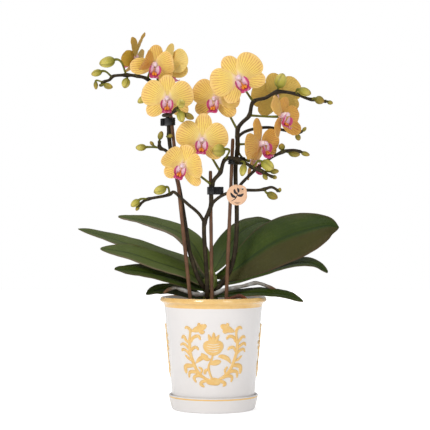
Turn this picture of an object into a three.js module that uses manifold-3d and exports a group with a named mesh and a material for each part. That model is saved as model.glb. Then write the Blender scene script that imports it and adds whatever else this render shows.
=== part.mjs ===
// Potted orchid: a many-flowered moth orchid, staked, in a glazed pot on its saucer.
// Units are millimetres, +Z is up and -Y is the front.
// The origin is the middle of the saucer's underside.
import * as THREE from "three";
import { mergeVertices } from "three/addons/utils/BufferGeometryUtils.js";
import Module from "manifold-3d";

const wasm = await Module();
wasm.setup();

// ---- Driving dimensions ----

const GAP = 0.3; // clearance between two pieces that touch

// Glazed pot
const POT_HEIGHT = 112;
const RIM_RADIUS = 55; // outer edge of the flared rim
const NECK_RADIUS = 50.5; // wall just below the coloured band
const HEEL_RADIUS = 42.6; // wall where it enters the saucer
const FOOT_RADIUS = 38;
const POT_WALL = 5;
const POT_FLOOR = 5;
const BAND_HEIGHT = 10; // flared band at the rim

// Saucer
const SAUCER_HEIGHT = 16;
const SAUCER_WALL = 2.9;
const SAUCER_FLOOR = 4;
const SAUCER_CLEARANCE = 0.6; // round the pot's foot

// Plastic grow pot inside the glazed pot
const GROW_POT_DROP = 8; // its rim lies this far below the glazed rim
const GROW_POT_CLEARANCE = 1;
const GROW_POT_WALL = 1;
const GROW_POT_LIP = 1.6; // how far the rolled lip stands out
const DRAIN_HOLES = 6;
const DRAIN_RADIUS = 3;

// Bark and what stands in it
const BARK_DROP = 7.3; // bark surface below the glazed rim
const BARK_BUMP = 1.5;
const STAKE_RADIUS = 2;
const CLIP_HEIGHT = 8;
const CLIP_WALL = 1.4;
const WING_LENGTH = 7; // of a clip's ribbed wings
const TAG_RADIUS = 10.6;
const TAG_THICKNESS = 0.7;

// Plant
const CROWN_RADIUS = 7.5;
const CROWN_HEIGHT = 36;
const SPIKE_BASE_RADIUS = 2.1;
const BRANCH_RADIUS = 1.35; // where a side branch leaves its spike
const SPIKE_TIP_RADIUS = 1;
const PEDICEL_RADIUS = 0.9;
const NUB_SEAT = 1; // how far a stalk runs into a bud that is only a nub
const ROOT_RADIUS = 2.3;
const LEAF_THICKNESS = 2.4;
const LEAF_FOLD = 0.12; // rise of a leaf's edges per width out from its midrib
const FLOWER_SCALE = 1;
const TEPAL_THICKNESS = 1.3;

// ---- Materials ----

const finish = (color, roughness) => new THREE.MeshStandardMaterial({ color, roughness });
const GLAZE = finish(0xf3f1ec, 0.2);
const GROW_POT_PLASTIC = finish(0x5b4a3c, 0.5);
const BARK = finish(0x6b4630, 0.95);
const STAKE = finish(0x5e3a22, 0.6);
const CLIP = finish(0x15161a, 0.45);
const CARD = finish(0xf1c6a4, 0.85);
const LEAF = finish(0x2f5a2b, 0.4);
const CROWN = finish(0x6f8440, 0.6);
const ROOT = finish(0xb9b59a, 0.8);
const SPIKE = finish(0x4a4a2c, 0.6);
const BUD = finish(0xa9a83f, 0.6);
const PETAL = finish(0xf2cf6e, 0.55);

// ---- Solids ----

// A closed geometry as a solid that can be joined to others or cut by them.
function toSolid(geometry) {
  const bare = geometry.clone();
  bare.deleteAttribute("normal");
  bare.deleteAttribute("uv");
  const merged = mergeVertices(bare, 1e-4);
  return new wasm.Manifold(
    new wasm.Mesh({
      numProp: 3,
      vertProperties: merged.attributes.position.array,
      triVerts: new Uint32Array(merged.index.array),
    }),
  );
}

function toGeometry(solid) {
  const mesh = solid.getMesh();
  const geometry = new THREE.BufferGeometry();
  geometry.setAttribute("position", new THREE.BufferAttribute(mesh.vertProperties, 3));
  geometry.setIndex(new THREE.BufferAttribute(mesh.triVerts, 1));
  geometry.computeVertexNormals();
  return geometry;
}

const join = (solids) => solids.reduce((whole, solid) => whole.add(solid));
const cut = (solid, cutters) => cutters.reduce((left, cutter) => left.subtract(cutter), solid);

// ---- Curves, stems and blades ----

const at = ([x, y, z]) => new THREE.Vector3(x, y, z);
const route = (points) => new THREE.CatmullRomCurve3(points.map(at), false, "catmullrom", 0.5);
const straight = (start, end) => new THREE.LineCurve3(at(start), at(end));

// A round stem along a curve, closed at both ends, tapering from one radius to the other.
function stem(curve, startRadius, endRadius, sides = 5, step = 8) {
  const steps = Math.max(3, Math.round(curve.getLength() / step));
  const frames = curve.computeFrenetFrames(steps, false);
  const geometry = new THREE.CylinderGeometry(1, 1, 1, sides, steps);
  const place = geometry.attributes.position;
  for (let i = 0; i < place.count; i += 1) {
    const t = place.getY(i) + 0.5;
    const row = Math.round(t * steps);
    const radius = THREE.MathUtils.lerp(startRadius, endRadius, t);
    const point = curve.getPointAt(t);
    point.addScaledVector(frames.normals[row], place.getX(i) * radius);
    point.addScaledVector(frames.binormals[row], -place.getZ(i) * radius);
    place.setXYZ(i, point.x, point.y, point.z);
  }
  return toSolid(geometry);
}

// How wide a blade is along its length, as a share of its full width.
// A small rise makes a broad base, and a small fall makes a blunt tip.
function outline(rise, fall) {
  const widest = rise / (rise + fall);
  const peak = widest ** rise * (1 - widest) ** fall;
  return (t) => (t ** rise * (1 - t) ** fall) / peak;
}

const LEAF_OUTLINE = outline(0.6, 0.6);
const BROAD_LEAF_OUTLINE = outline(1.2, 0.75);
const PETAL_OUTLINE = outline(0.9, 0.6);
const SEPAL_OUTLINE = outline(0.7, 0.55);
const LOBE_OUTLINE = outline(0.6, 0.5);
const BUD_OUTLINE = outline(0.5, 0.6);
const COLUMN_OUTLINE = outline(0.3, 0.3);

// A closed blade or spindle along a curve: `width` across, `depth` thick where it is widest,
// its upper side towards `face`, and its edges lifted by `fold` times their distance out.
function blade({ curve, face, width, depth, shape, fold = 0, around = 6, along = 5, grow = 0 }) {
  const geometry = new THREE.SphereGeometry(1, around, along);
  const place = geometry.attributes.position;
  const towards = at(face).normalize();
  for (let i = 0; i < place.count; i += 1) {
    const t = THREE.MathUtils.clamp((place.getY(i) + 1) / 2, 0, 1);
    const ring = Math.hypot(place.getX(i), place.getZ(i));
    const across = ring > 1e-6 ? place.getX(i) / ring : 0;
    const through = ring > 1e-6 ? place.getZ(i) / ring : 0;
    const share = ring > 1e-6 ? shape(t) : 0;
    const halfWidth = (width / 2) * share + grow;
    const halfDepth = (depth / 2) * Math.sqrt(share) + grow;
    const forward = curve.getTangentAt(t);
    const side = forward.clone().cross(towards).normalize();
    const up = side.clone().cross(forward);
    const point = curve.getPointAt(t);
    point.addScaledVector(side, across * halfWidth);
    point.addScaledVector(up, through * halfDepth + fold * halfWidth * Math.abs(across));
    place.setXYZ(i, point.x, point.y, point.z);
  }
  return toSolid(geometry);
}

// ---- Pot, saucer and grow pot ----

const TURN_STEPS = 32;
const lathe = (profile, steps = TURN_STEPS) => {
  const points = profile.map(([r, z]) => new THREE.Vector2(r, z));
  return new THREE.LatheGeometry(points, steps).rotateX(Math.PI / 2);
};

const potBase = SAUCER_FLOOR + GAP;
const potTop = potBase + POT_HEIGHT;
const bandBase = potTop - BAND_HEIGHT;
const heelTop = SAUCER_HEIGHT - 2;
const barkTop = potTop - BARK_DROP;

// Outer radius of the pot's straight wall at a height.
const wallRadius = (z) =>
  THREE.MathUtils.mapLinear(z, heelTop, bandBase, HEEL_RADIUS, NECK_RADIUS);

// Inner radius of the pot at a height in its straight part or its flared band.
const innerRadius = (z) =>
  z < bandBase
    ? wallRadius(z) - POT_WALL
    : THREE.MathUtils.mapLinear(z, bandBase, potTop - 1, NECK_RADIUS, RIM_RADIUS) - POT_WALL;

function potSolid() {
  const flare = RIM_RADIUS - NECK_RADIUS;
  const innerFloor = potBase + POT_FLOOR;
  return lathe([
    [0, potBase],
    [FOOT_RADIUS, potBase],
    [FOOT_RADIUS + 1, potBase + 0.7],
    [HEEL_RADIUS, heelTop],
    [NECK_RADIUS, bandBase],
    [NECK_RADIUS + flare * 0.18, bandBase + BAND_HEIGHT * 0.25],
    [NECK_RADIUS + flare * 0.55, bandBase + BAND_HEIGHT * 0.6],
    [RIM_RADIUS, potTop - 1.6],
    [RIM_RADIUS - 0.4, potTop - 0.4],
    [RIM_RADIUS - 1.4, potTop],
    [RIM_RADIUS - POT_WALL + 1, potTop],
    [RIM_RADIUS - POT_WALL, potTop - 1],
    [NECK_RADIUS - POT_WALL, bandBase],
    [wallRadius(innerFloor + 4) - POT_WALL, innerFloor + 4],
    [wallRadius(innerFloor) - POT_WALL - 4, innerFloor],
    [0, innerFloor],
  ]);
}

function saucerSolid() {
  const innerTop = HEEL_RADIUS + SAUCER_CLEARANCE;
  const innerFoot = FOOT_RADIUS + 1 + SAUCER_CLEARANCE;
  const outerTop = innerTop + SAUCER_WALL;
  const outerFoot = innerFoot + SAUCER_WALL;
  return lathe([
    [0, 0],
    [outerFoot - 1.5, 0],
    [outerFoot, 0.8],
    [outerFoot + 0.8, 2.6],
    [outerTop, SAUCER_HEIGHT - 1.6],
    [outerTop - 0.2, SAUCER_HEIGHT - 0.4],
    [outerTop - 1, SAUCER_HEIGHT],
    [innerTop + 0.7, SAUCER_HEIGHT - 0.3],
    [innerTop, heelTop],
    [innerFoot, SAUCER_FLOOR + 1],
    [innerFoot - 1, SAUCER_FLOOR],
    [0, SAUCER_FLOOR],
  ]);
}

const growBase = potBase + POT_FLOOR + GAP;
const growTop = potTop - GROW_POT_DROP;
const growFootRadius = wallRadius(growBase) - POT_WALL - 4 - GROW_POT_CLEARANCE;
const growRoom = Math.min(innerRadius(growTop - 3), innerRadius(growTop));
const growTopRadius = growRoom - GROW_POT_CLEARANCE - GROW_POT_LIP;
const growFloor = growBase + GROW_POT_WALL;

function growPotSolid() {
  const body = toSolid(
    lathe(
      [
        [0, growBase],
        [growFootRadius, growBase],
        [growTopRadius, growTop - 3],
        [growTopRadius + GROW_POT_LIP, growTop - 3],
        [growTopRadius + GROW_POT_LIP, growTop],
        [growTopRadius - GROW_POT_WALL, growTop],
        [growFootRadius - GROW_POT_WALL, growFloor],
        [0, growFloor],
      ],
      24,
    ),
  );
  const holes = Array.from({ length: DRAIN_HOLES }, (_, i) => {
    const angle = (i / DRAIN_HOLES) * 2 * Math.PI;
    const reach = growFootRadius * 0.6;
    const hole = new THREE.CylinderGeometry(DRAIN_RADIUS, DRAIN_RADIUS, 4 * GROW_POT_WALL, 8);
    hole.rotateX(Math.PI / 2).translate(reach * Math.cos(angle), reach * Math.sin(angle), growBase);
    return toSolid(hole);
  });
  return cut(body, holes);
}

// ---- Plant: from here on heights are measured from the bark's surface ----

const rimAbove = BARK_DROP;
const barkDepth = barkTop - growFloor - GAP;

// The short trunk that leaves, roots and flower spikes grow from.
const CROWN_MIDDLE = [-3, 0];

function crownSolid(grow = 0) {
  const [x, y] = CROWN_MIDDLE;
  return blade({
    curve: straight([x, y, -14], [x, y, CROWN_HEIGHT]),
    face: [0, -1, 0],
    width: 2 * CROWN_RADIUS,
    depth: 2 * CROWN_RADIUS,
    shape: COLUMN_OUTLINE,
    around: 10,
    along: 6,
    grow,
  });
}

// Leaves: midrib from the crown to the tip, full width, and which way the upper side looks.
const LEAVES = {
  leaf_left_1: {
    midrib: [[-5, 1, 26], [-17, 12, 54], [-35, 24, 72], [-69, 34, 84], [-101, 42, 90]],
    width: 36,
    face: [0.25, -0.4, 1],
  },
  leaf_left_2: {
    midrib: [[-4, 6, 24], [-17, 18, 35], [-30, 28, 43], [-62, 38, 52], [-96, 47, 63],
      [-122, 53, 70], [-145, 58, 77]],
    width: 38,
    face: [0.3, -0.2, 1],
  },
  leaf_left_3: {
    midrib: [[-4, -1, 17], [-17, -1, 25], [-30, -1, 33], [-60, -2, 43], [-87, -2, 52], [-117, 0, 57]],
    width: 38,
    face: [0.25, -0.25, 1],
  },
  leaf_left_4: {
    midrib: [[-4, 0, 13], [-30, -1, 21], [-55, -10, 28], [-77, -16, 33], [-101, -22, 36]],
    width: 32,
    face: [0.2, -0.35, 1],
  },
  leaf_left_5: {
    midrib: [[-6, 4, 3], [-25, 6, 9], [-44, 6, rimAbove + 8], [-58, 4, rimAbove + 8],
      [-70, 2, rimAbove + 3]],
    width: 22,
    face: [0, -0.35, 1],
  },
  leaf_right_1: {
    midrib: [[-2, 6, 26], [19, 6, 31], [39, 4, 44], [60, 3, 58], [80, 4, 67.5], [100, 6, 74.5],
      [119, 9, 79.5], [131, 12, 77.5]],
    width: 51,
    face: [-0.3, -0.85, 0.55],
    fold: -0.1,
    shape: BROAD_LEAF_OUTLINE,
  },
  leaf_right_2: {
    midrib: [[-0.5, 4.5, 31], [13, 28, 53], [27, 36, 71], [45, 41, 82], [63, 46, 85]],
    width: 32,
    face: [-0.4, -0.4, 1],
  },
  leaf_right_3: {
    midrib: [[-2, 5, 18], [26, 6, 24], [51, 3, 32], [79, 0, 40], [102, -2, 41], [118, -4, 32]],
    width: 38,
    face: [0, -0.2, 1],
  },
  leaf_right_4: {
    midrib: [[-2, -1, 7], [23, STAKE_RADIUS - 7, rimAbove + 3], [50, -14, rimAbove + 4],
      [74, -18, rimAbove + 2], [92, -21, rimAbove - 4]],
    width: 28,
    face: [0, -0.1, 1],
  },
};

const leafSolid = ({ midrib, width, face, fold = LEAF_FOLD, shape = LEAF_OUTLINE }) =>
  blade({
    curve: route(midrib),
    face,
    width,
    depth: LEAF_THICKNESS,
    shape,
    fold,
    around: 8,
    along: 11,
  });

// A point of the low root, `inside` the pot's inner wall where it is narrowest over the bark.
const wallOverBark = Math.min(innerRadius(barkTop + 1) + 1.5, innerRadius(barkTop + 4));
function insideWall(x, y, height, inside) {
  const scale = (wallOverBark - inside) / Math.hypot(x, y);
  return [x * scale, y * scale, height];
}

// Aerial roots, from the crown outwards. The left one passes behind its stake.
const ROOTS = {
  root_right: [[-1, -7, 9.5], [3.5, -11.5, 11.5], [10, -12.5, 14.5], [20, -11, 16.5],
    [31, -9, 18.5], [40, -7, 21], [46, -5, 21.5], [55, -2, 19], [67, 4, rimAbove + 8]],
  root_left: [[-6, -3, 10], [-14, -11, 10], [-21, STAKE_RADIUS - 16, 11],
    [-31, STAKE_RADIUS - 15, 14.5], [-39, -13, 17], [-46, -12, 15], [-51, -11, 11]],
  root_low: [[0, -5, -1], [9, -24, 3], insideWall(18, -33, 7, 11.2), insideWall(27, -34, 9.5, 5.4),
    insideWall(36, -29, 4, 2.6)],
};

const rootSolid = (points, grow = 0) =>
  stem(route(points), ROOT_RADIUS + grow, ROOT_RADIUS * 0.75 + grow, 6, 8);

// Stakes lean with the spikes: where each passes the bark's surface, and its top.
const STAKES = {
  left: { foot: [-23, -18, 0], top: [-43.5, -15, 194] },
  centre: { foot: [-1.5, -13.5, 0], top: [-3, -12, 137] },
  right: { foot: [13, -17, 0], top: [20, -14, 170] },
};

// Point of a stake's axis at a height.
function stakeAt({ foot, top }, height) {
  return at(foot).lerp(at(top), height / top[2]).toArray();
}

const stakeSolid = (stake, grow = 0) =>
  stem(
    straight(stakeAt(stake, -barkDepth), stake.top),
    STAKE_RADIUS + grow,
    STAKE_RADIUS * 0.9 + grow,
    10,
    80,
  );

// Flower spikes: the main stem, then its branches.
const SPIKES = {
  left: [
    [[-5, -6, 13], [-11, -12, 19], [-16, -14, 28], [-20, -13, 40], [-25, -11, 56], [-28, -9, 76],
      [-33, -9, 107], [-36, -9, 123], [-40, -9, 140], [-44, -10, 159], [-45.5, -10, 172],
      [-46, -9, 184], [-47.5, -8, 195], [-52, -6, 210], [-59, -3, 223], [-68, -3, 232],
      [-78, -3, 235], [-89, -4, 236], [-103, -5, 235], [-107, -5, 231], [-113, -5, 229],
      [-116, -5, 225]],
    [[-47.5, -8, 194.5], [-51, -14, 194], [-50, -22, 193], [-44, -31, 193.5], [-39, -36, 197],
      [-36, -38, 200]],
    [[-43, -10, 152], [-49, -9, 158], [-55, -9, 161], [-55.5, -9, 169]],
  ],
  centre: [
    [[-5, -5, 3], [-6.5, -10, 7], [-6.5, -14.5, 13], [-6.5, -14.5, 22], [-7, -14, 35],
      [-8.5, -13, 56], [-9.5, -13, 72], [-9, -15, 84], [-5, -18, 94], [-2, -19, 103],
      [-2, -19, 113], [0, -19, 126], [7, -19, 135], [10, -19, 145], [13, -20, 149],
      [19, -21, 150], [27, -21, 147], [34, -22, 144], [40, -23, 140], [48, -24, 137],
      [57, -24, 132], [62, -24, 130]],
    [[-9, -15, 84], [-14, -17, 92], [-19, -20, 97], [-24, -22, 101], [-32, -23, 108],
      [-40, -23, 115], [-44, -23, 113], [-50, -23, 111], [-66, -22, 108], [-72, -21, 105],
      [-77, -21, 100]],
    [[-2, -19, 103], [5, -20, 109], [12, -20, 113], [19, -20, 115], [27, -19, 117],
      [36, -18, 117], [45, -17, 117], [52, -18, 118], [59, -20, 120], [64, -20, 118],
      [67, -19, 115]],
  ],
  right: [
    [[-2, -4, 11], [8, -7, 19.5], [16, -9, 32], [20, -10, 43], [23, -11, 61], [24, -11, 81],
      [24, -10, 102], [23, -10, 122], [23, -9, 143], [25, -9, 161], [25, -9, 179], [30, -9, 187],
      [37, -9, 194], [41, -10, 208], [54, -12, 212], [66, -14, 218], [84, -14, 216],
      [97, -13, 211], [110, -12, 209], [118, -11, 208]],
    [[24, -10, 117], [29, -10, 124], [42, -9, 137], [52, -8, 145], [60, -7, 151], [70, -7, 156],
      [76, -8, 158], [84, -14, 158], [91, -13, 156]],
    [[25, -9, 172], [33, 2, 178], [46, 12, 182], [59, 16, 183], [75, 16, 180], [87, 16, 177],
      [94, 16, 180]],
  ],
};

// Flowers: middle, then yaw to the right, pitch upwards and roll anticlockwise in degrees,
// roughly where the flower's stalk leaves its spike, how far its petals bend forwards in
// degrees, and its size.
const FLOWERS = {
  left: [
    { middle: [-81, 12.5, 258], turn: [-108, 15, -40], from: [-78, -3, 235], bend: 15 },
    { middle: [-61, -16, 245], turn: [14, -10, -4], from: [-68, -3, 232], bend: 58, size: 0.95 },
    { middle: [-44, 4, 244], turn: [122, -5, 0], from: [-59, -3, 223], bend: 30 },
    { middle: [-47, -26, 209], turn: [0, -6, 0], from: [-48, -8, 197] },
  ],
  centre: [
    { middle: [-31, -36, 141], turn: [-8, -10, -20], from: [-1, -19, 122], bend: 50, size: 0.93 },
    { middle: [-11.5, -30, 166.5], turn: [0, -3, -4], from: [7, -19, 135], bend: 6 },
  ],
  right: [
    { middle: [3, -9, 210], turn: [-20, -5, -8], from: [25, -9, 180], bend: 15 },
    { middle: [26, -26, 230], turn: [5, -5, 30], from: [41, -10, 208], size: 1.08 },
    { middle: [66, 10, 214.5], turn: [170, 0, -10], from: [66, -14, 218], bend: 8 },
    { middle: [70, -17.5, 192.5], turn: [50, 0, -15], from: [37, -9, 194], bend: 45 },
    { middle: [48, -16, 164], turn: [52, -5, 20], from: [25, -9, 165], bend: 50 },
    { middle: [41, 5, 147], turn: [75, -10, 20], from: [25, -9, 158], bend: 20, size: 0.9 },
  ],
};

// Buds: base, tip, width, and roughly where the stalk leaves the spike. A bud that is only
// a nub at this age is part of its spike.
const BUDS = {
  left: [
    { base: [-101, -14, 251], tip: [-117, -15, 246.5], width: 11.5, from: [-89, -4, 236] },
    { base: [-115, -5, 240], tip: [-126, -5, 236.5], width: 7.5, from: [-104, -5, 235] },
    { base: [-113, -8, 226], tip: [-103.5, -8, 223], width: 6.6, from: [-116, -5, 226] },
    { base: [-89, -4, 233], tip: [-92, -4, 222.5], width: 9, from: [-89, -4, 236] },
    { base: [-69, 3, 215], tip: [-78.5, 3, 208], width: 7.5, from: [-52, -6, 210] },
    { base: [-33, -40, 204], tip: [-32.5, -51, 203.5], width: 9, from: [-36, -38, 200] },
    { base: [-34, -41, 196.5], tip: [-31, -41, 185], width: 8.6, from: [-39, -36, 197] },
    { base: [-29, -37, 194], tip: [-19.5, -37, 189], width: 6.6, from: [-37, -37, 199] },
    { base: [-69, -9, 161.5], tip: [-80, -9, 161], width: 7.4, from: [-55, -9, 161] },
  ],
  centre: [
    { base: [12, -40, 158], tip: [-1.5, -40, 156], width: 13, from: [13, -20, 149] },
    { base: [31.5, -28, 143.5], tip: [29, -28, 131], width: 7.6, from: [27, -21, 147] },
    { base: [49, -31, 146], tip: [61.5, -31, 138.5], width: 11, from: [40, -23, 140] },
    { base: [-48, -29, 120], tip: [-60.5, -29, 114.5], width: 9.5, from: [-44, -23, 113] },
    { base: [-75.5, -25, 107], tip: [-84, -25, 100.5], width: 7.5, from: [-66, -22, 108] },
    { base: [55, -17, 114], tip: [66, -17, 109], width: 8, from: [52, -18, 118] },
  ],
  right: [
    { base: [66.5, -14, 222], tip: [71.5, -14, 237], width: 12.5, from: [66, -14, 218] },
    { base: [87, -20, 220], tip: [100, -20, 215.5], width: 9, from: [84, -14, 216] },
    { base: [104, -18, 211], tip: [113.5, -18, 207.5], width: 8.6, from: [100, -13, 210] },
    { base: [70.3, -7, 158.5], tip: [70.6, -7, 165.5], width: 7, from: [70, -7, 156] },
    { base: [77.5, -5, 156.5], tip: [89.5, -4, 154], width: 8, from: [73, -7, 157] },
  ],
};

const NUBS = {
  left: [
    { base: [-121.5, -5, 229.5], tip: [-121, -5, 221], width: 4.6, from: [-113, -5, 229] },
    { base: [-46.5, -19, 172], tip: [-41.5, -21, 173], width: 4.2, from: [-45.5, -10, 172] },
    { base: [-61.5, -9, 163], tip: [-65, -9, 167.5], width: 3.8, from: [-55, -9, 161] },
    { base: [-55.5, -9, 169], tip: [-53, -9, 178], width: 6, from: [-55.5, -9, 168] },
  ],
  centre: [
    { base: [58, -22, 136], tip: [67, -22, 136.5], width: 5.8, from: [48, -24, 137] },
    { base: [51, -24, 133], tip: [55, -24, 127.5], width: 5, from: [50, -24, 136] },
    { base: [60, -24, 131], tip: [65, -24, 129.5], width: 4.4, from: [60, -24, 131] },
    { base: [-76, -21, 101], tip: [-79, -21, 96], width: 4, from: [-76, -21, 101] },
    { base: [67, -19, 115], tip: [68.5, -19, 119.5], width: 4, from: [67, -19, 115] },
  ],
  right: [
    { base: [117, -11, 208], tip: [123, -11, 206.5], width: 4.6, from: [116, -11, 208] },
    { base: [90, -13, 156], tip: [99, -13, 153], width: 5.2, from: [90, -13, 156] },
    { base: [87, 16, 176], tip: [90, 16, 169.5], width: 6, from: [85, 16, 177] },
    { base: [93, 16, 179], tip: [97, 16, 183.5], width: 4, from: [93, 16, 179] },
  ],
};

const budSolid = ({ base, tip, width }, around = 8) =>
  blade({
    curve: straight(base, tip),
    face: Math.abs(tip[1] - base[1]) > 8 ? [0, 0, 1] : [0, -1, 0],
    width,
    depth: width,
    shape: BUD_OUTLINE,
    around,
  });

// A flower's stalk, bud's stalk or branch starts on the nearest point of its spike.
function nearestOn(branches, point) {
  const wanted = at(point);
  const samples = branches.flatMap((points) => route(points).getSpacedPoints(60));
  return samples.reduce((best, sample) =>
    sample.distanceTo(wanted) < best.distanceTo(wanted) ? sample : best,
  );
}

// Stalk from a spike to a flower or bud, arriving along its axis.
function stalk(branches, from, end, axis) {
  const start = nearestOn(branches, from);
  const reach = start.distanceTo(end) * 0.45;
  const lead = start.clone().lerp(end, 0.25);
  const arrive = end.clone().addScaledVector(axis, -reach);
  const curve = new THREE.CubicBezierCurve3(start, lead, arrive, end);
  return stem(curve, PEDICEL_RADIUS * 1.1, PEDICEL_RADIUS, 4, 9);
}

const TO_FLOWER_BACK = 3.2; // from a flower's middle to where its stalk meets it

function turned([yaw, pitch, roll]) {
  const { degToRad } = THREE.MathUtils;
  return new THREE.Euler(-degToRad(pitch), -degToRad(roll), degToRad(yaw), "ZXY");
}

function flowerStalk(branches, { middle, turn, from, size = 1 }) {
  const axis = new THREE.Vector3(0, -1, 0).applyEuler(turned(turn));
  const end = at(middle).addScaledVector(axis, -TO_FLOWER_BACK * FLOWER_SCALE * size - GAP);
  return stalk(branches, from, end, axis);
}

function budStalk(branches, { base, tip, from }, gap) {
  const axis = at(tip).sub(at(base)).normalize();
  const end = at(base).addScaledVector(axis, -gap);
  return stalk(branches, from, end, axis);
}

function spikeSolid(side) {
  const branches = SPIKES[side];
  const stems = branches.map((points, i) =>
    stem(route(points), i ? BRANCH_RADIUS : SPIKE_BASE_RADIUS, SPIKE_TIP_RADIUS),
  );
  return join([
    ...stems,
    ...FLOWERS[side].map((flower) => flowerStalk(branches, flower)),
    ...BUDS[side].map((bud) => budStalk(branches, bud, GAP)),
    ...NUBS[side].map((nub) => budStalk(branches, nub, -NUB_SEAT)),
    ...NUBS[side].map((nub) => budSolid(nub, 5)),
  ]);
}

// ---- One flower, looking to -Y, its middle at the origin ----

// Petals bend forwards as far as their flower says, sepals by a share of that.
const SEPAL_BEND = 0.35;
const SEPAL = { length: 25.5, width: 16, layer: 0.9, shape: SEPAL_OUTLINE, follow: SEPAL_BEND };
const PETAL_BLADE = { length: 28, width: 26, layer: -0.7, shape: PETAL_OUTLINE, follow: 1 };
const TEPALS = [
  { angle: 90, ...SEPAL },
  { angle: 213, ...SEPAL },
  { angle: 327, ...SEPAL },
  { angle: 22, ...PETAL_BLADE },
  { angle: 158, ...PETAL_BLADE },
];

function tepalSolid({ angle, length, width, layer, shape, follow }, bend) {
  const { degToRad } = THREE.MathUtils;
  const radians = degToRad(angle);
  const turn = degToRad(bend * follow);
  const out = (distance, y) => at([distance * Math.cos(radians), y, distance * Math.sin(radians)]);
  const half = length / 2;
  const curve = new THREE.QuadraticBezierCurve3(
    out(0.5, layer),
    out(half, layer - 2.2),
    out(half * (1 + Math.cos(turn)), layer + 1 - half * Math.sin(turn)),
  );
  return blade({ curve, face: [0, -1, 0], width, depth: TEPAL_THICKNESS, shape, around: 4 });
}

function lipSolids() {
  const lobe = (side) =>
    blade({
      curve: route([[side * 0.8, -2, -1.5], [side * 4.4, -4.6, -6], [side * 5.8, -7.6, -1]]),
      face: [-side, -0.4, 0],
      width: 5,
      depth: 1.4,
      shape: LOBE_OUTLINE,
      around: 4,
      along: 4,
    });
  const middle = blade({
    curve: route([[0, -1, -1], [0, -4, -6], [0, -8, -10.5], [0, -11.5, -13.5]]),
    face: [0, -0.45, 1],
    width: 9,
    depth: 1.8,
    shape: LOBE_OUTLINE,
  });
  return [lobe(-1), lobe(1), middle];
}

const columnSolid = () =>
  blade({
    curve: straight([0, TO_FLOWER_BACK, 0], [0, -7, 0.8]),
    face: [0, 0, 1],
    width: 5,
    depth: 5,
    shape: COLUMN_OUTLINE,
  });

const flowerSolid = (bend) =>
  join([...TEPALS.map((tepal) => tepalSolid(tepal, bend)), ...lipSolids(), columnSolid()]);

// ---- Stake clips and tag ----

// A collar round a stake and, `reach` away, its spike, with two ribbed wings to squeeze.
function clipSolid(reach) {
  const inner = STAKE_RADIUS + GAP;
  const outer = inner + CLIP_WALL;
  const slot = (radius) => {
    const shape = new THREE.Shape();
    shape.absarc(0, 0, radius, Math.PI / 2, (3 * Math.PI) / 2, false);
    shape.absarc(reach, 0, radius, -Math.PI / 2, Math.PI / 2, false);
    shape.closePath();
    return shape;
  };
  const block = (length, width, x, y) => {
    const box = new THREE.BoxGeometry(length, width, CLIP_HEIGHT);
    return toSolid(box.translate(x, y, CLIP_HEIGHT / 2));
  };
  const collar = slot(outer);
  collar.holes.push(slot(inner));
  const options = { depth: CLIP_HEIGHT, bevelEnabled: false, curveSegments: 4 };
  const parts = [toSolid(new THREE.ExtrudeGeometry(collar, options))];
  const wingStart = reach + outer - CLIP_WALL / 2;
  for (const side of [-1, 1]) {
    parts.push(block(WING_LENGTH, 1.6, wingStart + WING_LENGTH / 2, side * 2.2));
    for (const share of [0.3, 0.6, 0.9]) {
      parts.push(block(0.9, 1.2, wingStart + WING_LENGTH * share, side * 3.4));
    }
  }
  return join(parts);
}

// Round card with one squarer corner.
function tagGeometry() {
  const shape = new THREE.Shape();
  shape.absarc(0, 0, TAG_RADIUS, Math.PI / 2, 2 * Math.PI, false);
  shape.bezierCurveTo(
    TAG_RADIUS, TAG_RADIUS * 0.75,
    TAG_RADIUS * 0.75, TAG_RADIUS,
    0, TAG_RADIUS,
  );
  const hole = new THREE.Path();
  hole.absarc(TAG_RADIUS * 0.55, TAG_RADIUS * 0.6, 1, 0, 2 * Math.PI, true);
  shape.holes.push(hole);
  const options = { depth: TAG_THICKNESS, bevelEnabled: false, curveSegments: 10 };
  return new THREE.ExtrudeGeometry(shape, options).rotateX(Math.PI / 2);
}

// ---- Bark fill ----

function barkSolid(cutters) {
  const side = (z) =>
    THREE.MathUtils.mapLinear(
      z,
      growFloor - barkTop,
      growTop - barkTop,
      growFootRadius - GROW_POT_WALL - 2 * GAP,
      growTopRadius - GROW_POT_WALL - 2 * GAP,
    );
  const radius = side(-2);
  const rings = [1, 0.75, 0.5, 0.25];
  const geometry = lathe(
    [
      [0, -barkDepth],
      [side(-barkDepth), -barkDepth],
      [radius, -2],
      ...rings.map((share) => [radius * share * 0.98, 0]),
      [0, 0],
    ],
    24,
  );
  const place = geometry.attributes.position;
  for (let i = 0; i < place.count; i += 1) {
    if (place.getZ(i) < -1) continue;
    const x = place.getX(i);
    const y = place.getY(i);
    const coarse = Math.sin(x * 0.31 + 1.3) * Math.cos(y * 0.27);
    const fine = 0.5 * Math.sin(x * 0.11 - y * 0.37);
    place.setZ(i, (coarse + fine - 1) * BARK_BUMP);
  }
  return cut(toSolid(geometry), cutters);
}

// ---- Assembly ----

const potted_orchid = new THREE.Group();
const plant = new THREE.Group();
plant.position.z = barkTop;
potted_orchid.add(plant);

function addMesh(group, name, geometry, material) {
  const mesh = new THREE.Mesh(geometry, material);
  mesh.name = name;
  group.add(mesh);
  return mesh;
}

addMesh(potted_orchid, "saucer", saucerSolid(), GLAZE);
addMesh(potted_orchid, "pot", potSolid(), GLAZE);
addMesh(potted_orchid, "grow_pot", toGeometry(growPotSolid()), GROW_POT_PLASTIC);

const crownCutter = crownSolid(GAP);
addMesh(plant, "crown", toGeometry(crownSolid()), CROWN);

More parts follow.
